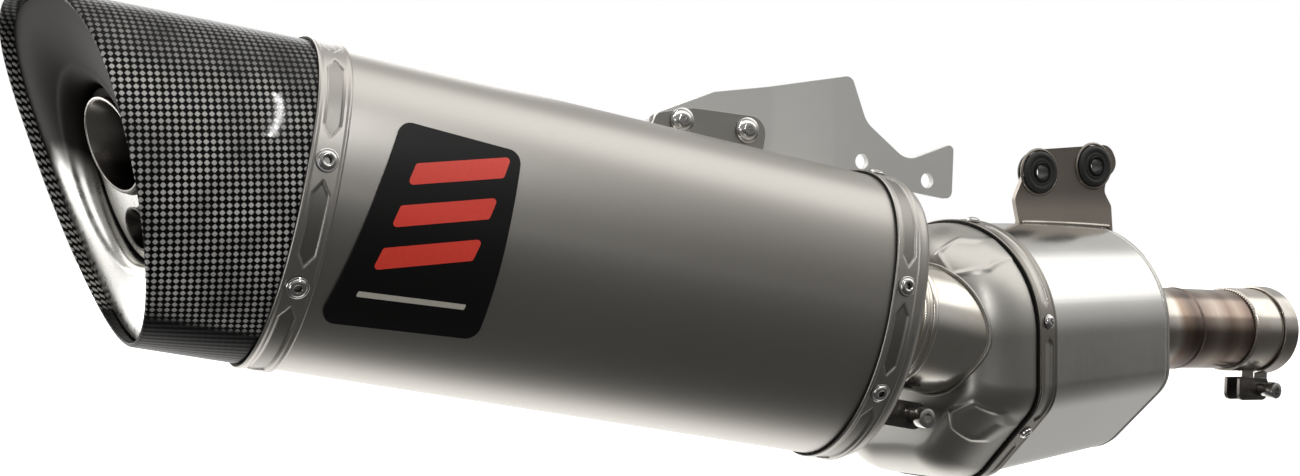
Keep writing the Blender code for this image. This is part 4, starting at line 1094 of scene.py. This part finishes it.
def make_hanger():
    """Tab on the crown and the joggled plate that is screwed to it."""
    crown = WAIST + top_height(250.0) + GAP
    outline = rounded_outline([
        (184.0, crown - 1.5, 0), (250.0, crown - 1.5, 0), (250.0, 93.5, 9.0), (206.0, 89.0, 12.0),
        (186.0, 82.0, 4.0),
    ])
    tab = plate(outline, 3.0, lambda u, v, w: (u, TAB_Y + w, v))
    tab = cut(tab, *[side_drill(x, z, SCREW_HOLE, -5.0, 30.0) for x, z in HANGER_SCREWS])
    piece = finish_piece("hanger_tab_plate", tab, MUFFLER, "muffler", CAP_STEEL,
                         ["hanger_tab"], 0)
    soften(piece, 0.4)
    for name, y in (("tab_weld_outer", 5.6), ("tab_weld_inner", 9.4)):
        line = [(x, y, section_top(x, y) + 0.5) for x in range(184, 251)]
        weld = bead(dense(line, closed=False), 1.5, lift=(0, 0, 1), closed=False)
        finish_piece(name, weld, MUFFLER, "muffler", WELD_STEEL, sharp=0)
    corners = [
        (-304.0, 17.0, 3.0), (-262.0, 9.0, 8.0), (-176.0, -7.5, 20.0), (-98.0, -19.5, 4.0),
        (-96.5, 12.0, 3.0), (-128.5, 1.5, 14.0), (-155.5, 22.0, 16.0), (-165.0, 47.0, 5.0),
        (-225.0, 37.5, 20.0), (-258.0, 33.5, 8.0),
    ]
    turned_outline = [(v, u) for u, v in rounded_outline(corners)]

    start, length = HANGER_STEP
    depth, rise = HANGER_DEPTHS

    def bend(z, x):
        share = min(1.0, max(0.0, (x - start) / length))
        eased = share - 0.045 * math.sin(2 * math.pi * share)
        return (x, depth + rise * (share * 0.6 + eased * 0.4), z)

    cuts = [start + length * k / 16 for k in range(17)]
    body = bent_sheet(turned_outline, cuts, bend, 4.0, (0, 1, 0))
    drills = [side_drill(x, z, BOLT_HOLE, -60.0, 30.0) for x, z in HANGER_HOLES]
    drills += [moved(side_drill(x, z, SCREW_HOLE, -5.0, 30.0), MUFFLER) for x, z in HANGER_SCREWS]
    piece = finish_piece("hanger_plate_face", cut(body, *drills), ROW, "muffler",
                         PLATE, ["hanger_plate"], 0)
    soften(piece, 0.5)


def hex_prism(across_flats, start, end):
    """Six-sided prism along X."""
    radius = across_flats / math.sqrt(3)
    return turned([(start, radius), (end, radius)], steps=6, wrap=False, caps=True)


def make_hanger_fasteners():
    """Button-head screws from outside, and flanged nuts behind the tab."""
    profile = [
        (19.0, 2.6), (18.4, 3.0), (2.4, 3.0), (2.4, 6.3), (2.1, 6.6), (1.5, 6.6), (1.2, 6.2), (1.0, 5.4),
        (0.4, 5.0), (-0.3, 4.3), (-0.8, 3.3), (-0.9, 2.6), (-0.9, 0.4)
    ]
    flange = [(0.0, 5.8), (0.9, 5.7), (1.0, 3.9), (0.0, 3.9)]
    for number, (x, z) in enumerate(HANGER_SCREWS, start=1):
        place = MUFFLER @ posed((x, TAB_Y - GAP - 2.4, z), QUARTER)
        screw = cut(turned(profile, steps=56, wrap=False, caps=True), hex_prism(3.6, -3.0, 0.9))
        finish_piece(f"hanger_screw_{number}_head", screw, place, "muffler",
                     SCREW_STEEL, [f"hanger_screw_{number}"])
        behind = MUFFLER @ posed((x, 13.9, z), QUARTER)
        thread = turned([(-2, 3.1), (9, 3.1)], steps=32, wrap=False, caps=True)
        nut = join([cut(hex_prism(10.0, 0.8, 5.0), thread), turned(flange, steps=40)])
        finish_piece(f"hanger_nut_{number}_hex", nut, behind, "muffler", SCREW_STEEL,
                     [f"hanger_nut_{number}"])


# ---------------------------------------------------------------- chamber

def chamber_points():
    """The chamber's outline across X: round above, with a flat floor and a cut corner below."""
    half = CHAMBER_HALF
    crown = half - 0.01
    corners = [
        (half, CHAMBER_TOP, crown), (half, CHAMBER_BOTTOM, 30.0), (-18.0, CHAMBER_BOTTOM, 26.0),
        (-half, -27.0, 24.0), (-half, CHAMBER_TOP, crown),
    ]
    return resample(rounded_outline(corners, 40), 480)


OUTLINE = chamber_points()


def chamber_lift(x, z):
    """Height on the chamber, whose lower half gets shallower towards its front."""
    if z >= CHAMBER_WAIST:
        return z
    return z + (CHAMBER_WAIST - z) * 0.10 * max(0.0, x) / CHAMBER_LENGTH


def chamber_ring(x, inset=0.0):
    ring = []
    for point in OUTLINE:
        reach = point.length
        scaled = point * ((reach - inset) / reach)
        ring.append((x, scaled.x, chamber_lift(x, scaled.y)))
    return ring


def make_chamber_shell():
    rings = [chamber_ring(0.4)]
    rings += [chamber_ring(16.0 + k * 9.0) for k in range(12)]
    end = ((123.6, 0.0), (124.0, 0.4), (124.0, SHEET), (0.4, SHEET))
    rings += [chamber_ring(x, inset) for x, inset in end]
    finish_piece("chamber_shell_skin", loft(rings, wrap=True), CHAMBER, "chamber",
                 BRUSHED_STEEL, ["chamber_shell"])


def outline_distance(y, z, corners):
    """Signed distance to a convex outline, positive inside."""
    nearest = 1e9
    for a, b in zip(corners, corners[1:] + corners[:1]):
        side = Vector((b[0] - a[0], b[1] - a[1])).normalized()
        inward = side.x * (z - a[1]) - side.y * (y - a[0])
        nearest = min(nearest, inward)
    return nearest


UPPER_PANEL = [(-19.5, 52.5), (-31.0, 40.5), (-44.5, 44.0), (-45.0, 50.0), (-33.0, 60.0), (-24.0, 61.0)]
LOWER_PANEL = [
    (-31.0, -31.5), (-30.5, -40.0), (-35.0, -46.5), (-38.5, -47.0), (-48.5, -39.0), (-52.0, -31.5),
    (-44.5, -25.5),
]
INNER_PANELS = [
    [(20.0, 54.0), (25.0, 61.0), (34.0, 59.0), (46.0, 49.0), (45.0, 43.0), (31.0, 41.0)],
    [(36.0, -28.0), (50.0, -26.0), (53.0, -34.0), (46.0, -50.0), (36.0, -56.0), (31.0, -44.0)],
]


def ordered(corners):
    """The same corners with the inside on the left of each side."""
    area = sum(a[0] * b[1] - b[0] * a[1] for a, b in zip(corners, corners[1:] + corners[:1]))
    return corners if area > 0 else list(reversed(corners))


PRESSED_PANELS = [ordered(panel) for panel in [UPPER_PANEL, LOWER_PANEL, *INNER_PANELS]]


def panel_lift(y, z):
    """Height of the rear cap's pressed panels: a raised rim around a lower field."""
    lift = 0.0
    for corners in PRESSED_PANELS:
        inside = outline_distance(y, z, corners)
        rim = smoothstep((inside + 1.5) / 1.8) - 0.8 * smoothstep((inside - 0.6) / 2.0)
        lift = max(lift, PANEL_HEIGHT * rim)
    return lift


def make_rear_cap():
    """Rear cap with a round edge, a flat end and pressed panels on its shoulder."""
    step = SHEET + GAP
    joint = ((12.0, step), (0.1, step), (0.1, 0.2), (-0.3, 0.0))
    rings = [chamber_ring(x, inset) for x, inset in joint]
    steps = 44
    for k in range(1, steps + 1):
        turn = math.pi / 2 * k / steps
        depth = REAR_DEPTH * math.sin(turn)
        inset = REAR_INSET * (1 - math.cos(turn))
        ring = chamber_ring(-depth, inset)
        normal_x = -math.sin(turn) * REAR_INSET
        normal_out = math.cos(turn) * REAR_DEPTH
        size = math.hypot(normal_x, normal_out)
        raised = []
        for x, y, z in ring:
            lift = panel_lift(y, z)
            out = Vector((y, z)).normalized() * (normal_out / size * lift)
            raised.append((x + normal_x / size * lift, y + out.x, z + out.y))
        rings.append(raised)
    flat = chamber_ring(-REAR_DEPTH, REAR_INSET)
    for share in (0.94, 0.88, 0.82, 0.76, 0.7, 0.6, 0.4, 0.2, 0.02):
        ring = []
        for x, y, z in flat:
            lift = panel_lift(y * share, z * share)
            ring.append((x - lift, y * share, z * share))
        rings.append(ring)
    body = loft(rings)
    # Painted shadow: the joint rings under the band take the near-black second material.
    for face in list(body.faces)[:3 * len(OUTLINE)]:
        face.material_index = 1
    body.faces.new(list(body.verts)[-len(OUTLINE):])
    bmesh.ops.recalc_face_normals(body, faces=body.faces)
    tree = BVHTree.FromBMesh(body)
    finish_piece("chamber_rear_cap_skin", body, CHAMBER, "chamber", [CAP_STEEL, SEAM_SHADOW],
                 ["chamber_rear_cap"], sharp=50)
    to_chamber = CHAMBER.inverted() @ MUFFLER
    direction = (to_chamber.to_3x3() @ Vector((1, 0, 0))).normalized()
    points = []
    for _, y, z in circle(0.0, 34.7, 0.0, JOINT_Z, 140):
        start = to_chamber @ Vector((335.0, y, z))
        hit = tree.ray_cast(start, direction)[0]
        if hit:
            points.append(hit)
    weld = bead(dense(points), 1.0, lift=(1, 0, 0.1), swell=0.03)
    finish_piece("link_weld", weld, CHAMBER, "chamber", CAP_STEEL, sharp=0)


def make_front_cap():
    end = CHAMBER_LENGTH
    step = SHEET + GAP
    joint = ((118.0, step), (124.4, step), (124.4, 0.2), (124.7, 0.0))
    rings = [chamber_ring(x, inset) for x, inset in joint]
    for k in range(11):
        turn = math.pi / 2 * k / 10
        x = end - CHAMBER_ROUND + CHAMBER_ROUND * math.sin(turn)
        rings.append(chamber_ring(x, CHAMBER_ROUND * (1 - math.cos(turn))))
    flat = chamber_ring(end, CHAMBER_ROUND)
    for share, depth in ((0.92, 0.2), (0.86, 1.0), (0.8, 1.2), (0.5, 1.2), (0.02, 1.2)):
        rings.append([(end - depth, y * share, z * share) for _, y, z in flat])
    body = loft(rings)
    body.faces.new(list(body.verts)[-len(OUTLINE):])
    bmesh.ops.recalc_face_normals(body, faces=body.faces)
    finish_piece("chamber_front_cap_skin", body, CHAMBER, "chamber", CAP_STEEL,
                 ["chamber_front_cap"], sharp=50)
    weld = bead(dense(circle(-0.4, 25.8, steps=140)), 1.7, lift=(1, 0, 0))
    finish_piece("inlet_weld", weld, INLET, "chamber", WELD_STEEL, sharp=0)


def make_cap_seam():
    """Weld that runs around the front edge of the chamber's shell."""
    weld = bead(dense(chamber_ring(124.2, 0.1)), 0.5, ripple=1.8, lift=(1, 0, 0), steps=8)
    finish_piece("chamber_seam_weld", weld, CHAMBER, "chamber", BRUSHED_STEEL, sharp=0)


def chamber_screw_places():
    """(y, z, lean) of each screw round the chamber's band."""
    corner = Vector((-CHAMBER_HALF, -27.0))
    along = (Vector((-18.0, CHAMBER_BOTTOM)) - corner).normalized()
    lower = corner + along * 22.0
    places = [(lower.x, lower.y, -math.atan2(-along.y, -along.x)), (12.0, CHAMBER_BOTTOM, math.pi)]
    flank = math.acos((16.0 - CHAMBER_WAIST) / CHAMBER_HALF)
    for lean in (math.radians(-10.5), -flank, flank):
        y = CHAMBER_HALF * math.sin(lean)
        places.append((y, CHAMBER_WAIST + CHAMBER_HALF * math.cos(lean), lean))
    return [(y, chamber_lift(CHAMBER_SCREW_X, z), lean) for y, z, lean in places]


def make_chamber_band():
    """Pressed band round the chamber's rear joint, and its screws."""
    places = chamber_screw_places()
    body = relief_band(
        lambda along, inset: chamber_ring(1.0 + along, inset), chamber_ring(CHAMBER_SCREW_X), places,
        outer=-1.8, half=3.2, taper=3.0, depth=0.9,
    )
    paints = [BAND_STEEL, CAP_STEEL, SEAM_SHADOW]
    finish_piece("chamber_band_pressed", body, CHAMBER, "chamber", paints,
                 ["chamber_band"], sharp=60)
    profile = [
        (-4.0, 1.8), (2.1, 1.8), (2.1, 3.9), (2.4, 3.9), (2.5, 3.5), (3.3, 3.3), (3.8, 2.7), (4.0, 2.0),
        (4.0, 1.5), (2.9, 1.4)
    ]
    for number, (y, z, lean) in enumerate(places, start=1):
        place = CHAMBER @ posed((CHAMBER_SCREW_X, y, z), (-lean, 0.0, 0.0))
        screw = swing(turned(profile, steps=36, wrap=False, caps=True), -math.pi / 2, "Y")
        node = f"chamber_screw_{number}"
        finish_piece(f"{node}_head", screw, place, "chamber", SCREW_STEEL, [node])


# ---------------------------------------------------------------- pipes and clamps

def raised_ring(x, radius, height, width):
    """Profile points of one rounded bead rolled into a pipe."""
    points = []
    for k in range(9):
        turn = math.pi * k / 8
        points.append((x - width / 2 * math.cos(turn), radius + height * math.sin(turn) ** 0.8))
    return points


def make_link_pipe():
    """Pipe with a rolled stop bead and a second, lower one towards the chamber."""
    outer = LINK_RADIUS
    profile = [(308.0, outer - 0.8), (309.5, outer), (335.6, outer)]
    profile += raised_ring(338.5, outer, 1.4, 4.6) + raised_ring(344.6, outer, 0.7, 3.6)
    profile += [(350.0, outer), (388.0, outer), (388.0, LINK_BORE), (308.0, LINK_BORE)]
    finish_piece("link_pipe_skin", turned(profile, 0.0, JOINT_Z, 144), MUFFLER, "chamber",
                 LINK_STEEL, ["link_pipe"], sharp=40)


def make_inlet():
    """Tinted pipe with two weld beads, and the slotted collar at its end."""
    outer = INLET_RADIUS
    profile = [(-14.0, outer), (20.0, outer)]
    for x in PIPE_BEADS:
        profile += raised_ring(x, outer, 0.35, 3.0)
    profile += [(90.0, outer), (142.0, outer), (142.0, INLET_BORE), (-14.0, INLET_BORE)]
    finish_piece("inlet_pipe_skin", turned(profile, steps=144), INLET, "chamber",
                 HEAT_TINT, ["inlet_pipe"], sharp=40)
    for number, x in enumerate(PIPE_BEADS, start=1):
        weld = bead(dense(circle(x, outer + 0.1, steps=140)), 0.55, 1.5, lift=(1, 0, 0), steps=8)
        finish_piece(f"pipe_weld_{number}", weld, INLET, "chamber", HEAT_TINT, sharp=0)
    profile = [
        (116.0, 25.3), (116.0, 25.9), (116.8, 26.6), (118.0, 26.7), (139.0, 26.7), (139.0, 26.7),
        (153.6, 26.7), (154.4, 27.2), (155.0, 27.0), (155.0, 25.3)
    ]
    slits = [slit_box((144.5, -1.0, -30.0), (165.0, 1.0, 30.0), turn + 22.5) for turn in (0, 90)]
    collar = cut(turned(profile, steps=144), *slits)
    finish_piece("inlet_collar_skin", collar, INLET, "chamber", COLLAR_STEEL,
                 ["inlet_collar"])
    weld = bead(dense(circle(115.8, 25.6, steps=140)), 1.0, ripple=1.8, lift=(1, 0, 0), steps=8)
    finish_piece("collar_weld", weld, INLET, "chamber", WELD_STEEL, sharp=0)


def clamp_outline(radius):
    """Outline of an open band with two straight ears below it."""
    half = CLAMP_OPENING / 2
    outer = radius + CLAMP_SHEET
    gap_angle = math.asin(half / radius)
    ear_angle = math.asin((half + CLAMP_SHEET) / outer)
    steps = 120
    inner_arc = []
    outer_arc = []
    for i in range(steps + 1):
        share = i / steps
        a = math.pi + gap_angle + (2 * math.pi - 2 * gap_angle) * share
        b = math.pi + ear_angle + (2 * math.pi - 2 * ear_angle) * share
        inner_arc.append((radius * math.sin(a), radius * math.cos(a)))
        outer_arc.append((outer * math.sin(b), outer * math.cos(b)))
    bottom = -(outer + CLAMP_EAR)
    left = [(-half, bottom), (-half - CLAMP_SHEET, bottom)]
    right = [(half + CLAMP_SHEET, bottom), (half, bottom)]
    return left + outer_arc + right + list(reversed(inner_arc))


def make_clamp(prefix, home, place, radius, width, reach, screw_x, painted_shade_nut):
    """Band with two ears, their lugs, a barrel nut and a cross screw."""
    x, z = place
    low = z - radius - CLAMP_SHEET
    band = plate(clamp_outline(radius), width, lambda u, v, w: (x + w - width / 2, u, z + v))
    lugs = []
    screw_z = low - 10.0
    rear, front = reach
    shape = rounded_outline([
        (rear, low - 17.0, 4.0), (front, low - 17.0, 6.0), (front, low - 2.5, 4.0),
        (rear, low - 2.5, 1.0),
    ])
    for start in (3.6, -6.2):
        lug = plate(shape, LUG_SHEET, lambda u, v, w, start=start: (u, start + w, v))
        lug = cut(lug, side_drill(screw_x, screw_z, SCREW_HOLE, -20.0, 40.0))
        # Painted shade: the lugs take the near-black second material.
        for face in lug.faces:
            face.material_index = 1
        lugs.append(lug)
    paints = [GOLD_STEEL if painted_shade_nut else CLAMP_STEEL, PAINTED_SHADE_STEEL]
    piece = finish_piece(f"{prefix}_clamp_ring", join([band, *lugs]), home, f"{prefix}_clamp",
                         paints, [f"{prefix}_clamp_band"], 0)
    soften(piece, 0.45, 3)
    barrel_profile = [(-6.5, 4.3), (-6.2, 4.8), (-5.7, 5.0), (5.7, 5.0), (6.2, 4.8), (6.5, 4.3)]
    barrel = swing(turned(barrel_profile, steps=48, wrap=False, caps=True), math.pi / 2, "Y")
    barrel = shift(barrel, (screw_x, 11.5, screw_z))
    barrel = cut(barrel, side_drill(screw_x, screw_z, 3.25, 0.0, 30.0))
    # Painted shade: on the muffler's clamp the barrel nut is near-black.
    finish_piece(f"{prefix}_clamp_barrel", barrel, home, f"{prefix}_clamp",
                 PAINTED_SHADE_STEEL if painted_shade_nut else CLAMP_STEEL, [f"{prefix}_clamp_nut"])
    profile = [(SCREW_TIP, 2.4), (SCREW_TIP - 0.6, 3.0)]
    profile += [(SCREW_TIP - 1.0 - 0.5 * k, 3.0 if k % 2 else 2.65) for k in range(14)]
    profile += [
        (10.0, 3.0), (-6.5, 3.0), (-6.5, 4.2), (-12.5, 4.2), (-12.5, 5.2), (-12.7, 5.4), (-17.6, 5.4),
        (-18.3, 5.1), (-18.5, 4.6)
    ]
    screw = cut(turned(profile, steps=64, wrap=False, caps=True), hex_prism(5.0, -22.0, -15.0))
    seat = home @ posed((screw_x, 0.0, screw_z), QUARTER)
    finish_piece(f"{prefix}_clamp_bolt", screw, seat, f"{prefix}_clamp_screw",
                 SCREW_STEEL, [f"{prefix}_clamp_screw"], 40)


# ---------------------------------------------------------------- frame bracket

def bracket_bend(x, v):
    """The bracket's own bend: upright, then leaning out by ten degrees at its foot."""
    radius = (BEND_START - BEND_END) / BEND_ANGLE
    if v >= BEND_START:
        return (x, 0.0, v)
    angle = (BEND_START - max(v, BEND_END)) / radius
    rest = max(0.0, BEND_END - v)
    y = -radius * (1 - math.cos(angle)) - rest * math.sin(angle)
    return (x, y, BEND_START - radius * math.sin(angle) - rest * math.cos(angle))


def make_bracket():
    corners = [
        (-37.0, -40.0, 0), (33.0, -40.0, 0), (34.5, -22.0, 5.0), (29.5, -13.0, 6.0),
        (31.0, -6.0, 6.0), (40.5, 3.0, 8.0), (34.0, 15.5, 9.0), (-24.0, 11.0, 8.0),
        (-32.0, -4.0, 10.0), (-39.0, -18.0, 6.0),
    ]
    cuts = [BEND_START - 0.75 * k for k in range(17)]
    body = bent_sheet(rounded_outline(corners), cuts, bracket_bend, BRACKET_SHEET, (0, -1, 0))
    drills = [side_drill(x, z, 10.0, -20.0, 20.0) for x, z in GROMMETS]
    ends = [chamber_ring(0.0, -GAP), chamber_ring(CHAMBER_LENGTH, -GAP)]
    body = cut(body, *drills, moved(loft(ends, caps=True), CHAMBER))
    piece = finish_piece("frame_bracket_plate", body, ROW, "chamber", BRACKET_STEEL,
                         ["frame_bracket"], 0)
    soften(piece, 0.5, 3)
    shell = loft(ends)
    tree = BVHTree.FromBMesh(moved(shell, CHAMBER))
    shell.free()
    low, high = BRACKET_WELD
    for name, offset in (("bracket_weld_outer", -3.4), ("bracket_weld_inner", 0.4)):
        line = []
        for k in range(BRACKET_WELD_STEPS + 1):
            x = low + (high - low) * k / BRACKET_WELD_STEPS
            y = bracket_bend(x, -30.0)[1] + offset
            hit = tree.ray_cast(Vector((x, y, 0.0)), Vector((0, 0, -1)))[0]
            if hit:
                line.append(hit + Vector((0, 0, 0.2)))
        weld = bead(dense(line, closed=False), 1.7, lift=(0, 0, 1), closed=False)
        finish_piece(name, weld, ROW, "chamber", WELD_STEEL, sharp=0)


def make_grommets():
    """Rubber grommets with their steel sleeves, and the bracket's raised lip round each."""
    rubber = [
        (-5.9, 6.35), (-5.9, 7.6), (-5.5, 8.0), (-5.6, 8.8), (-5.9, 9.4), (-5.8, 10.9), (-5.2, 11.9),
        (-4.4, 12.3), (-3.5, 12.2), (-3.3, 11.8), (-3.3, 9.7), (0.3, 9.7), (0.3, 11.8), (0.5, 12.2),
        (1.4, 12.3), (2.2, 11.9), (2.8, 10.9), (2.9, 9.4), (2.6, 8.8), (2.5, 8.0), (2.9, 7.6),
        (2.9, 6.35),
    ]
    tube = [
        (-6.5, 4.7), (-6.5, 5.6), (-6.1, 6.0), (3.1, 6.0), (3.5, 5.6), (3.5, 4.7), (3.1, 4.3),
        (-6.1, 4.3),
    ]
    lip = [
        (-3.0, 12.5), (-3.0, 14.2), (-3.5, 14.0), (-4.0, 13.5), (-4.1, 13.1), (-3.9, 12.7), (-3.5, 12.5),
    ]
    for number, (x, z) in enumerate(GROMMETS, start=1):
        seat = posed((x, 0.0, z), QUARTER)
        finish_piece(f"grommet_{number}_rubber", turned(rubber), seat, "chamber", RUBBER,
                     [f"grommet_{number}"], sharp=45)
        finish_piece(f"grommet_sleeve_{number}_tube", turned(tube, steps=64), seat, "chamber",
                     BLACK_STEEL, [f"grommet_sleeve_{number}"], sharp=25)
        finish_piece(f"bracket_lip_{number}", turned(lip), seat, "chamber",
                     BRACKET_STEEL, sharp=0)


# ---------------------------------------------------------------- kept frame parts

def paint_kept_nodes():
    paints = {
        "outlet_plate": DISH, "outlet_bulkhead": CAP_STEEL, "mid_baffle": CAP_STEEL,
        "core_tube": CAP_STEEL, "packing": WOOL, "chamber_baffle": CAP_STEEL,
        "chamber_core_tube": CAP_STEEL,
    }
    for name, paint in paints.items():
        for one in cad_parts[name].material_slots:
            one.material = paint


def build_muffler():
    make_sleeve()
    make_end_cap()
    make_dish()
    make_outlet_tube("outlet_tube_large", 3.0, 10.0, 19.0, 17.6)
    make_outlet_tube("outlet_tube_small", 1.0, -23.0, 9.0, 7.8)
    make_band("outlet", 0.0)
    make_band("front", FRONT_BAND)
    make_rivets("outlet", BAND_RIVET)
    make_rivets("front", FRONT_BAND + BAND_RIVET)
    make_muffler_front_cap()
    make_inlet_sleeve()
    make_badge()
    make_hanger()
    make_hanger_fasteners()


def build_chamber():
    make_chamber_shell()
    make_rear_cap()
    make_front_cap()
    make_cap_seam()
    make_chamber_band()
    make_link_pipe()
    make_inlet()
    make_clamp("muffler", MUFFLER, (329.0, JOINT_Z), 35.9, 12.0, (322.5, 367.5), 361.0, True)
    make_clamp("inlet", INLET, (148.0, 0.0), 27.0, 13.0, (126.0, 155.0), 147.0, False)
    make_bracket()
    make_grommets()


# ---------------------------------------------------------------- floor, light and camera

FLOOR_DROP = 0.30
FLOOR_HALF = 30.0

# The room that is reflected: the side it opens to, and the brightness of its parts.
TOWARD = (-0.46, -0.887)
SIDE_LIGHT = 0.6
SIDE_LOSS = 0.5
WINDOW_LIGHT = 1.3
TABLE_LIGHT = 1.9
TABLE_LOSS = 0.75
ROOM_LIGHT = 0.09
SILL_RISE = 0.75
EDGE_LEAN = 0.6
ROOM_COLOUR = (1.0, 0.985, 0.96, 1.0)

# Lamps: name, place, the point it faces, its two sides, watts, and the direction of the second side.
UPRIGHT = (0.0, 0.0, 1.0)
LAMPS = (
    ("rear_panel", (-1.45, -0.45, -0.15), (-0.55, -0.04, -0.05), (0.5, 0.9), 3.0, UPRIGHT),
    ("left_panel", (-1.15, 0.74, -0.04), (-0.56, -0.02, -0.04), (0.7, 0.32), 3.0, UPRIGHT),
    ("back_panel", (-0.42, 0.62, 0.34), (-0.42, 0.0, 0.0), (0.85, 0.5), 3.2, UPRIGHT),
    ("streak", (-0.224, -0.93, 0.43), (-0.505, -0.096, 0.005), (0.006, 0.5), 1.6, (0.11, 0.307, 0.60)),
)
CAMERA_PLACE = (-0.687, -0.786, -0.041)
CAMERA_TURN = (math.radians(90.0), 0.0, math.radians(-27.5))
CAMERA_LENS = 47.08
CAMERA_SENSOR = 36.0


def make_floor():
    """White sheet far below, seen only by the camera."""
    mesh = bpy.data.meshes.new("floor")
    level = CAD_LOW.z - FLOOR_DROP
    square = [(x * FLOOR_HALF, y * FLOOR_HALF, level) for x, y in ((-1, -1), (1, -1), (1, 1), (-1, 1))]
    mesh.from_pydata(square, [], [(0, 1, 2, 3)])
    floor = bpy.data.objects.new("floor", mesh)
    bpy.context.scene.collection.objects.link(floor)
    paint = Paint("floor_paper", (0.9, 0.9, 0.9), 0.9, 0.0)
    paint.put(paint.shader, "Emission Color", (1.0, 1.0, 1.0))
    paint.put(paint.shader, "Emission Strength", 0.75)
    mesh.materials.append(paint.material)
    floor.visible_glossy = False
    floor.visible_diffuse = False


def make_world():
    """White behind the object; for reflections a dim room with a soft window and a bright table."""
    world = bpy.data.worlds.new("studio")
    world.use_nodes = True
    bpy.context.scene.world = world
    tree = world.node_tree
    tree.nodes.clear()

    def add(kind, inputs=None, **settings):
        node = tree.nodes.new(kind)
        for key, value in settings.items():
            setattr(node, key, value)
        for key, value in (inputs or {}).items():
            if isinstance(value, bpy.types.NodeSocket):
                tree.links.new(value, node.inputs[key])
            else:
                node.inputs[key].default_value = value
        return node

    def step(value, low, high):
        inputs = {"Value": value, "From Min": low, "From Max": high}
        return add("ShaderNodeMapRange", inputs, interpolation_type="SMOOTHSTEP").outputs[0]

    def maths(operation, a, b):
        return add("ShaderNodeMath", {0: a, 1: b}, operation=operation).outputs[0]

    place = add("ShaderNodeTexCoord").outputs["Generated"]
    x, y, z = add("ShaderNodeSeparateXYZ", {0: place}).outputs

    def times(a, b):
        return maths("MULTIPLY", a, b)

    def less(share, loss):
        return maths("SUBTRACT", 1.0, times(share, loss))

    toward = maths("ADD", times(x, TOWARD[0]), times(y, TOWARD[1]))
    room = times(times(step(z, -0.15, 0.3), SIDE_LIGHT), less(step(toward, 0.1, 0.5), SIDE_LOSS))
    sill = times(step(toward, -0.2, 0.8), SILL_RISE)
    edge = step(maths("SUBTRACT", toward, times(z, EDGE_LEAN)), -0.92, -0.79)
    window = times(times(step(maths("SUBTRACT", z, sill), 0.24, 0.32), edge), WINDOW_LIGHT)
    table = maths("POWER", step(toward, 0.05, -0.6), 1.5)
    table = times(table, less(step(x, 0.5, 0.72), TABLE_LOSS))
    table = times(times(table, step(z, 0.05, -0.25)), TABLE_LIGHT)
    total = maths("ADD", maths("ADD", room, window), maths("ADD", table, ROOM_LIGHT))
    dim = add("ShaderNodeBackground", {"Color": ROOM_COLOUR, "Strength": total})
    white = add("ShaderNodeBackground", {"Color": (1.0, 1.0, 1.0, 1.0), "Strength": 1.0})
    seen = add("ShaderNodeLightPath").outputs["Is Camera Ray"]
    mixed = add("ShaderNodeMixShader", {0: seen, 1: dim.outputs[0], 2: white.outputs[0]})
    add("ShaderNodeOutputWorld", {"Surface": mixed.outputs[0]})


def area_light(name, place, target, size, power, along):
    """Rectangular lamp at place that faces target, with its second side along the given direction."""
    data = bpy.data.lights.new(name, "AREA")
    data.shape = "RECTANGLE"
    data.size, data.size_y = size
    data.energy = power
    lamp = bpy.data.objects.new(name, data)
    back = (Vector(place) - Vector(target)).normalized()
    side = Vector(along).cross(back).normalized()
    turn = Matrix((side, back.cross(side), back)).transposed()
    lamp.matrix_world = Matrix.Translation(place) @ turn.to_4x4()
    bpy.context.scene.collection.objects.link(lamp)


def make_camera():
    data = bpy.data.cameras.new("camera")
    data.lens = CAMERA_LENS
    data.sensor_width = CAMERA_SENSOR
    data.clip_start = 0.01
    camera = bpy.data.objects.new("camera", data)
    camera.location = CAMERA_PLACE
    camera.rotation_euler = CAMERA_TURN
    bpy.context.scene.collection.objects.link(camera)
    bpy.context.scene.camera = camera


build_muffler()
build_chamber()
paint_kept_nodes()
make_floor()
make_world()
for lamp in LAMPS:
    area_light(*lamp)
make_camera()
bpy.context.scene.view_settings.view_transform = "Standard"
